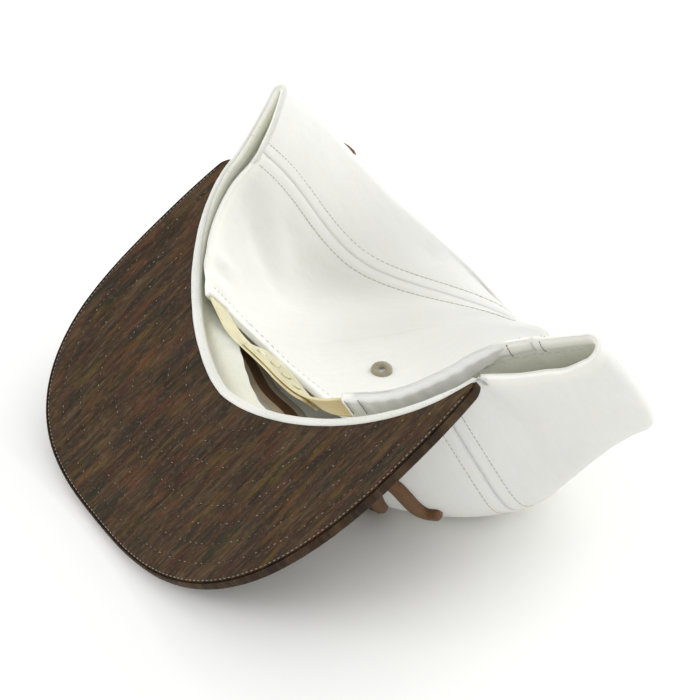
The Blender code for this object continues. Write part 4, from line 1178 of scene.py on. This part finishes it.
def disc_mesh(name, centre, axis, profile, sides, finish):
    """A closed turned piece about an axis, from radii and heights."""
    axis = unit(axis)
    side = unit(np.cross(axis, (0.31, 0.95, 0.05)))
    angle = np.linspace(0, 2 * math.pi, sides, endpoint=False)
    ring = np.cos(angle)[:, None] * side + np.sin(angle)[:, None] * np.cross(axis, side)
    points = [centre + axis * profile[0][1]]
    for radius, height in profile[1:-1]:
        points.extend(centre + ring * radius + axis * height)
    points.append(centre + axis * profile[-1][1])
    index = np.arange(1, len(points) - 1).reshape(-1, sides)
    after = np.roll(index, -1, axis=1)
    faces = np.stack([index[:-1], after[:-1], after[1:], index[1:]], axis=-1).reshape(-1, 4).tolist()
    faces += [[0, right, left] for left, right in zip(index[0].tolist(), after[0].tolist())]
    faces += [[left, right, len(points) - 1] for left, right in zip(index[-1].tolist(), after[-1].tolist())]
    return solid_mesh(name, points, faces, finish)


def strap_strip(name, start, end, depth_from, depth_to, narrow):
    """Strip between two places, its depth under the crown's surface easing from one value to another."""
    around = np.linspace(start, end, 150)
    middle, upward, normal = strap_frame(around)
    share = eased((np.linspace(0, 1, len(around)) - STRAP_EASE[0]) / (STRAP_EASE[1] - STRAP_EASE[0]))
    depth = depth_from + (depth_to - depth_from) * share
    across = np.array([-1, -0.985, -0.95, -0.88, -0.80, -0.6, -0.3, 0, 0.3, 0.6, 0.80, 0.88, 0.95, 0.985, 1.0])
    bead = np.interp(np.abs(across), (0, 0.74, 0.82, 0.92, 1.0), (0.00018, 0.00018, 0, 0, 0.00035))
    half = 0.5 * (STRAP_WIDTH - narrow)
    upper = 1 + STRAP_BULGE * bell(around - STRAP_BULGE_PLACE, STRAP_BULGE_SPREAD) * (across[:, None] > 0)
    run = run_of(middle)
    taper = round_rise(np.minimum(run, run[-1] - run) / 0.003) * 0.35 + 0.65
    sheet = middle[None] + upward[None] * (across[:, None] * half * taper[None] * upper)[..., None]
    outer = sheet - normal[None] * (depth[None] + bead[:, None])[..., None]
    inner = sheet - normal[None] * (depth[None] + STRAP_THICK - bead[:, None])[..., None]
    flat = np.stack(np.broadcast_arrays((run[-1] - run)[None], across[:, None] * half), axis=-1)
    return cloth_mesh(name, outer, inner, STRAP_PLASTIC, flat)


strap_tuck = arch_reach(STRAP_TUCK)
outer_depth = CLOTH + GAP
inner_depth = outer_depth + STRAP_THICK + GAP
overlap = arch_reach(PEG_PITCH) * (PEG_COUNT / 2 + 0.2)
peg_half = strap_strip("strap_inner_strip", ARCH_MIDDLE - overlap, right_arch + strap_tuck,
                       inner_depth, outer_depth, 0.0006)
hole_half = strap_strip("strap_outer_strip", left_arch - strap_tuck, ARCH_MIDDLE + overlap,
                        outer_depth, outer_depth, 0.0)
peg_places = ARCH_MIDDLE + (np.arange(PEG_COUNT) - (PEG_COUNT - 1) / 2) * arch_reach(PEG_PITCH)
peg_middle, _, peg_way = strap_frame(peg_places)
punch_profile = ((0, -PUNCH_HALF), (HOLE_RADIUS, -PUNCH_HALF), (HOLE_RADIUS, PUNCH_HALF), (0, PUNCH_HALF))
for index, (centre, way) in enumerate(zip(peg_middle, peg_way)):
    punch = disc_mesh("strap_punch", centre - way * (outer_depth + STRAP_THICK / 2), way,
                      punch_profile, 24, STRAP_PLASTIC)
    cut = hole_half.modifiers.new(f"hole_{index}", "BOOLEAN")
    cut.operation = "DIFFERENCE"
    cut.solver = "EXACT"
    cut.object = punch
applied(hole_half)
for punch in [made for made in bpy.data.objects if made.name.startswith("strap_punch")]:
    bpy.data.objects.remove(punch)
sew_in(peg_half, ["strap_peg_half"])
sew_in(hole_half, ["strap_hole_half"])
for index, (centre, way) in enumerate(zip(peg_middle, peg_way)):
    foot = centre - way * (inner_depth + CLEAR)
    peg = disc_mesh(f"strap_peg_{index}", foot, way, (
        (0, 0), (PEG_RADIUS * 0.95, 0), (PEG_RADIUS * 0.95, 0.0013), (PEG_RADIUS * 1.10, 0.0015),
        (PEG_RADIUS * 1.08, 0.0017), (PEG_RADIUS * 0.8, 0.0019), (PEG_RADIUS * 0.4, 0.0020), (0, 0.0020)),
        28, STRAP_PLASTIC)
    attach(peg, "root")

# ---------------------------------------------------------------- strap_tab
# The turned-in end of the back panel's hem, a white tab that covers the strap's anchored end and is
# stitched through it.
TAB_PLACES = (2.04, 2.322)
TAB_WIDTHS = (0.0046, 0.0155)
TAB_START_DEPTH = 0.0004
TAB_TURN = 0.0020
TAB_THICK = 0.0009
tab_around = even_places(*TAB_PLACES)
tab_tops = np.interp(tab_around, TAB_PLACES, TAB_WIDTHS) / MERIDIAN
tab_outer, tab_normal, tab_across, tab_up = crown_sheet(tab_around, np.zeros_like(tab_around), tab_tops, 22)
tab_depth = outer_depth + STRAP_THICK + CLEAR + 0.0002 * sine_of(tab_across, 0.006)
tab_turn = np.clip(tab_up / TAB_TURN, 0, 1)
tab_depth = TAB_START_DEPTH + (tab_depth - TAB_START_DEPTH) * round_rise(tab_turn)
tab_edge = np.minimum((tab_across[:, -1:] - tab_across) / 0.0010, tab_across / 0.0120)
tab_thick = TAB_THICK - 0.0007 * np.clip(1 - tab_edge, 0, 1) ** 2
tab_depth -= 0.0010 * np.clip(1 - tab_across / 0.0160, 0, 1) ** 2 * tab_turn
tab = cloth_mesh("strap_tab", tab_outer - tab_normal * tab_depth[..., None],
                 tab_outer - tab_normal * (tab_depth + tab_thick)[..., None], WHITE_TWILL,
                 np.stack([tab_across, tab_up], axis=-1))
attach(tab, "root")
rim_length(*TAB_PLACES)
tab_levels = np.linspace(0.0004, 0.0085, 14) / MERIDIAN
tab_lift = -(outer_depth + STRAP_THICK + 0.0013)
# These stitches use the same darkened thread: painted shade.
tab_runs = [run_on_crown(place, tab_levels, tab_lift, True) for place in (2.290, 2.314)]
stitch_runs("strap_tab_stitches", tab_runs, TICK_THREAD_PAINTED_SHADE, TICK_STITCH)

# ---------------------------------------------------------------- top_button
# A stamped disc covered with the crown's twill and riveted through the crown where the four panels
# meet.
BUTTON_RADIUS = 0.0070
BUTTON_HEIGHT = 0.0034
button_ring, button_normal = crown_surface(np.linspace(0, 4, 33)[:-1], np.array([0.99, 1.0]))
button_centre = button_ring[1].mean(axis=0)
button_axis = unit(button_normal[1].mean(axis=0))
button_base = button_centre + button_axis * (((button_ring[1] - button_centre) @ button_axis).max() + GAP)
button_profile = [(share * BUTTON_RADIUS, rise * BUTTON_HEIGHT) for share, rise in (
    (0, 0), (0.80, 0), (0.93, 0.06), (1.0, 0.22), (0.99, 0.38), (0.94, 0.56), (0.84, 0.72), (0.68, 0.86),
    (0.48, 0.94), (0.25, 0.985), (0, 1))]
button = disc_mesh("top_button_cloth", button_base, button_axis, button_profile, 56, WHITE_TWILL)
sew_in(button, ["top_button"])

# ---------------------------------------------------------------- eyelet
# A ventilation hole punched in the back panel and bound with khaki cotton, in satin stitches that
# run from the hole outwards.
EYELET_PLACE = (2.565, 0.45)
EYELET_RADIUS = 0.0045
EYELET_HEIGHT = 0.0009
EYELET_STITCHES = 34
EYELET_LEAN = 0.36
EYELET_WAY = (0.654, -0.470, 0.593)
KHAKI_SATIN = thread_finish("khaki_satin", (0.42, 0.38, 0.27), (0.22, 0.19, 0.12), ply=0.0005, rough=0.45)


def spot_on_crown(around, level):
    """A point of the crown, its outward normal and its directions round and up."""
    points, normals = spots_on_crown([around - SMALL_STEP, around, around + SMALL_STEP], level)
    round_way = unit(points[2] - points[0])
    return points[1], normals[1], round_way, unit(np.cross(normals[1], round_way))


def ring_mesh(name, base, axis, round_way, up_way, finish):
    """A closed ring round a hole, its face ridged by the stitches."""
    sides = EYELET_STITCHES * 6
    angle = np.linspace(0, 2 * math.pi, sides, endpoint=False)
    ring = np.cos(angle)[:, None] * round_way + np.sin(angle)[:, None] * up_way
    ridge = 1 - 0.16 * (0.5 - 0.5 * np.cos(angle * EYELET_STITCHES)) ** 2
    uneven = 1 + 0.008 * np.sin(angle * 7 + 1) + 0.008 * np.sin(angle * 17)
    section = [(0.31, -0.4), (0.31, 0.35), (0.36, 0.72), (0.48, 0.96), (0.65, 1.0), (0.82, 0.86), (0.94, 0.52),
               (1.0, 0.12), (1.0, -0.9), (0.65, -0.9)]
    points = [base + ring * (share * EYELET_RADIUS * np.where(share > 0.9, uneven, 1.0))[:, None]
              + axis * (rise * EYELET_HEIGHT * np.where(rise > 0.3, ridge, 1.0))[:, None]
              for share, rise in section]
    index = np.arange(len(section) * sides).reshape(len(section), sides)
    after = np.roll(index, -1, axis=0)
    faces = np.stack([index, after, np.roll(after, -1, axis=1), np.roll(index, -1, axis=1)], axis=-1)
    return solid_mesh(name, np.concatenate(points), faces.reshape(-1, 4).tolist(), finish)


eyelet_centre, eyelet_axis, eyelet_round, eyelet_up = spot_on_crown(*EYELET_PLACE)
eyelet_axis = unit(eyelet_axis + np.array(EYELET_WAY) * EYELET_LEAN)
eyelet_round = unit(np.cross(eyelet_up, eyelet_axis))
eyelet = ring_mesh("eyelet_ring", eyelet_centre + eyelet_axis * 0.0007, eyelet_axis, eyelet_round,
                   unit(np.cross(eyelet_axis, eyelet_round)), KHAKI_SATIN)
sew_in(eyelet, ["eyelet"])

# ---------------------------------------------------------------- front_motif
# Raised satin-stitch embroidery on the front panel, a plain wave: rayon threads laid side by side
# across a padded core, with the flat, looser back of the stitches and its backing on the inside.
MOTIF_STROKE = 0.0061
MOTIF_RAISE = 0.0030
MOTIF_SEAT = 0.0002
# Place round the crown and level of the wave's knots.
MOTIF = ((0.150, 0.235), (0.205, 0.325), (0.270, 0.349), (0.340, 0.347), (0.410, 0.360), (0.480, 0.320),
         (0.560, 0.215), (0.635, 0.210), (0.690, 0.310), (0.755, 0.325), (0.795, 0.215), (0.838, 0.190),
         (0.850, 0.265), (0.858, 0.318), (0.887, 0.330))


def satin_finish(name, colour, shade, pitch):
    """Satin stitch: threads laid across the stroke on its UV map in metres."""
    made, shader, stroke, place = new_finish(name, {
        "Sheen Weight": 0.08, "Specular IOR Level": 0.4, "Anisotropic": 0.5})
    run, across, _ = stroke.parts()
    wander = stroke.noise(260.0, 2.0) - 0.5
    thread = (run + wander * 0.0012).wave(pitch)
    cell = stroke.stretched(1 / pitch, 60.0).noise(1.0, 2.0)
    tone = thread * 0.45 + cell * 0.55
    feed(shader, colour=tone.between(0.2, 0.8).ramp((0.0, shade), (1.0, colour)),
         rough=0.42 + 0.12 * thread, normal=thread.bump(0.00016, 0.8, place.noise(900.0, 2.0).bump(0.00005)))
    return made


def swept(name, run_points, aside, normals, section, finish):
    """A closed cord: a section of sideways and outward offsets in metres swept along points."""
    length = run_of(run_points)
    tip = round_rise(np.minimum(length, length[-1] - length) / 0.0022, 0.01)[:, None]
    girth, rises = np.array(section).T
    foot = rises.min() if rises[len(section) // 2] > 0 else rises.max()
    grid = np.array([run_points + aside * side * tip + normals * (foot + (rise - foot) * tip)
                     for side, rise in section])
    grid[..., 2] = np.maximum(grid[..., 2], 0.0)
    return tube_mesh(name, grid, length, girth, finish)


def motif_line(count):
    """Points of the wave on the crown's outer face, with its sideways and outward directions."""
    knots = np.arange(len(MOTIF), dtype=float)
    run = np.linspace(0, len(MOTIF) - 1, count)
    places = spline(knots, np.array(MOTIF)[:, None], run[:, None])[:, 0]
    points, normals = spots_on_crown(places[:, 0], places[:, 1])
    tangent = unit(np.gradient(points, axis=0))
    return points, unit(np.cross(normals, tangent)), normals


BROWN_SATIN = satin_finish("brown_satin", (0.235, 0.105, 0.030), (0.085, 0.038, 0.013), pitch=0.00042)
BEIGE_BACKING_PAINTED_LIGHT = thread_finish("beige_backing_painted_light", (0.86, 0.74, 0.56), (0.66, 0.52, 0.36), ply=0.0005)
motif_points, motif_aside, motif_normals = motif_line(420)
bend = np.linspace(0, math.pi, 15)
cord = [(-math.cos(angle) * MOTIF_STROKE / 2, GAP + MOTIF_SEAT + math.sin(angle) ** 0.8 * MOTIF_RAISE)
        for angle in bend]
cord[0] = (-MOTIF_STROKE / 2, -0.0002)
cord[-1] = (MOTIF_STROKE / 2, -0.0002)
front_motif = swept("front_embroidery", motif_points, motif_aside, motif_normals, cord, BROWN_SATIN)
sew_in(front_motif, ["front_motif"])
inside = CLOTH + CLEAR
flat_back = [(side, -inside - deep) for side, deep in (
    (0.0029, 0), (0.0027, 0.0006), (0.0012, 0.0009), (0, 0.0006), (-0.0012, 0.0009), (-0.0027, 0.0006),
    (-0.0029, 0))]
# The backing is real, but it is made wide and light beige so that the shaded inside of the front panel beside
# the stroke reads light and warm: painted light.
backing = [(side, -inside - deep) for side, deep in (
    (0.0072, -0.0003), (0.0070, 0.0003), (-0.0070, 0.0003), (-0.0072, -0.0003))]
for name, section, finish in (("embroidery_back", flat_back, BROWN_SATIN),
                              ("embroidery_outline", backing, BEIGE_BACKING_PAINTED_LIGHT)):
    made = swept(name, motif_points, motif_aside, motif_normals, section, finish)
    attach(made, "root")

# ---------------------------------------------------------------- side_motif
# A small flat lozenge of satin stitch on the left panel: rayon threads laid side by side from one
# side of it to the other.
SIDE_MOTIF_HALF = 0.0095
SIDE_MOTIF_RAISE = 0.0009
SIDE_MOTIF_SLIM = 0.7
SIDE_MOTIF_PLACE = (3.384, 0.304)
SIDE_MOTIF_STEPS = 49
side_span = spots_on_crown(SIDE_MOTIF_PLACE[0] + SMALL_STEP * np.array([-1, 1]), SIDE_MOTIF_PLACE[1])[0]
side_scale = length_of(side_span) / (2 * SMALL_STEP)
steps = np.linspace(-1, 1, SIDE_MOTIF_STEPS)
first, second = np.meshgrid(steps, steps, indexing="ij")
side_across = (first - second) / 2 * SIDE_MOTIF_HALF * SIDE_MOTIF_SLIM
side_ahead = (first + second) / 2 * SIDE_MOTIF_HALF
side_points, side_normals = spots_on_crown((SIDE_MOTIF_PLACE[0] + side_across / side_scale).ravel(),
                                           (SIDE_MOTIF_PLACE[1] + side_ahead / MERIDIAN).ravel())
side_points = side_points.reshape(*first.shape, 3)
side_normals = side_normals.reshape(*first.shape, 3)
edge = np.minimum(1 - np.abs(first), 1 - np.abs(second))
side_rise = 0.0001 + SIDE_MOTIF_RAISE * round_rise(edge / 0.25)
side_motif = cloth_mesh("side_embroidery", side_points + side_normals * side_rise[..., None],
                        side_points - side_normals * 0.0002, BROWN_SATIN,
                        np.stack([side_ahead, side_across], axis=-1))
sew_in(side_motif, ["side_motif"])

# ---------------------------------------------------------------- table, light and camera
# A seamless pale table under an even white sky, a large soft light on either side, and the camera of
# the photograph.
FLOOR_SIZE = 6.0
floor_mesh = bpy.data.meshes.new("table_top")
half = FLOOR_SIZE / 2
corners = [(-half, -half, 0), (half, -half, 0), (half, half, 0), (-half, half, 0)]
floor_mesh.from_pydata(corners, [], [(0, 1, 2, 3)])
floor_mesh.materials.append(new_finish("pale_table", {
    "Base Color": (0.94, 0.94, 0.93, 1.0), "Roughness": 0.55, "Specular IOR Level": 0.2})[0])
table = added("table_top", floor_mesh)

world = bpy.data.worlds.new("soft_studio")
bpy.context.scene.world = world
world.use_nodes = True
sky = world.node_tree.nodes["Background"].inputs
sky["Color"].default_value = (1.0, 1.0, 0.99, 1.0)
sky["Strength"].default_value = 0.85
LIGHT_SIZE = 0.7
LIGHT_TARGET = (0, 0, 0.03)
for name, place, power in (("right_side", (-0.06, 0.96, 0.50), 6.2), ("left_side", (-0.31, -0.91, 0.50), 4.4)):
    lamp = bpy.data.lights.new(name, "AREA")
    lamp.energy = power
    lamp.size = LIGHT_SIZE
    made = added(name, lamp)
    made.location = place
    made.rotation_euler = (Vector(LIGHT_TARGET) - Vector(place)).to_track_quat("-Z", "Y").to_euler()

lens = bpy.data.cameras.new("photo_camera")
lens.lens = 102.53
lens.sensor_width = 36.0
lens.clip_start = 0.05
camera = added("photo_camera", lens)
camera.location = (0.5106055, -0.3617406, 0.5126516)
camera.rotation_euler = [math.radians(turn) for turn in (53.559068, -2.877913, 56.425579)]
bpy.context.scene.camera = camera
bpy.context.scene.view_settings.view_transform = "Standard"
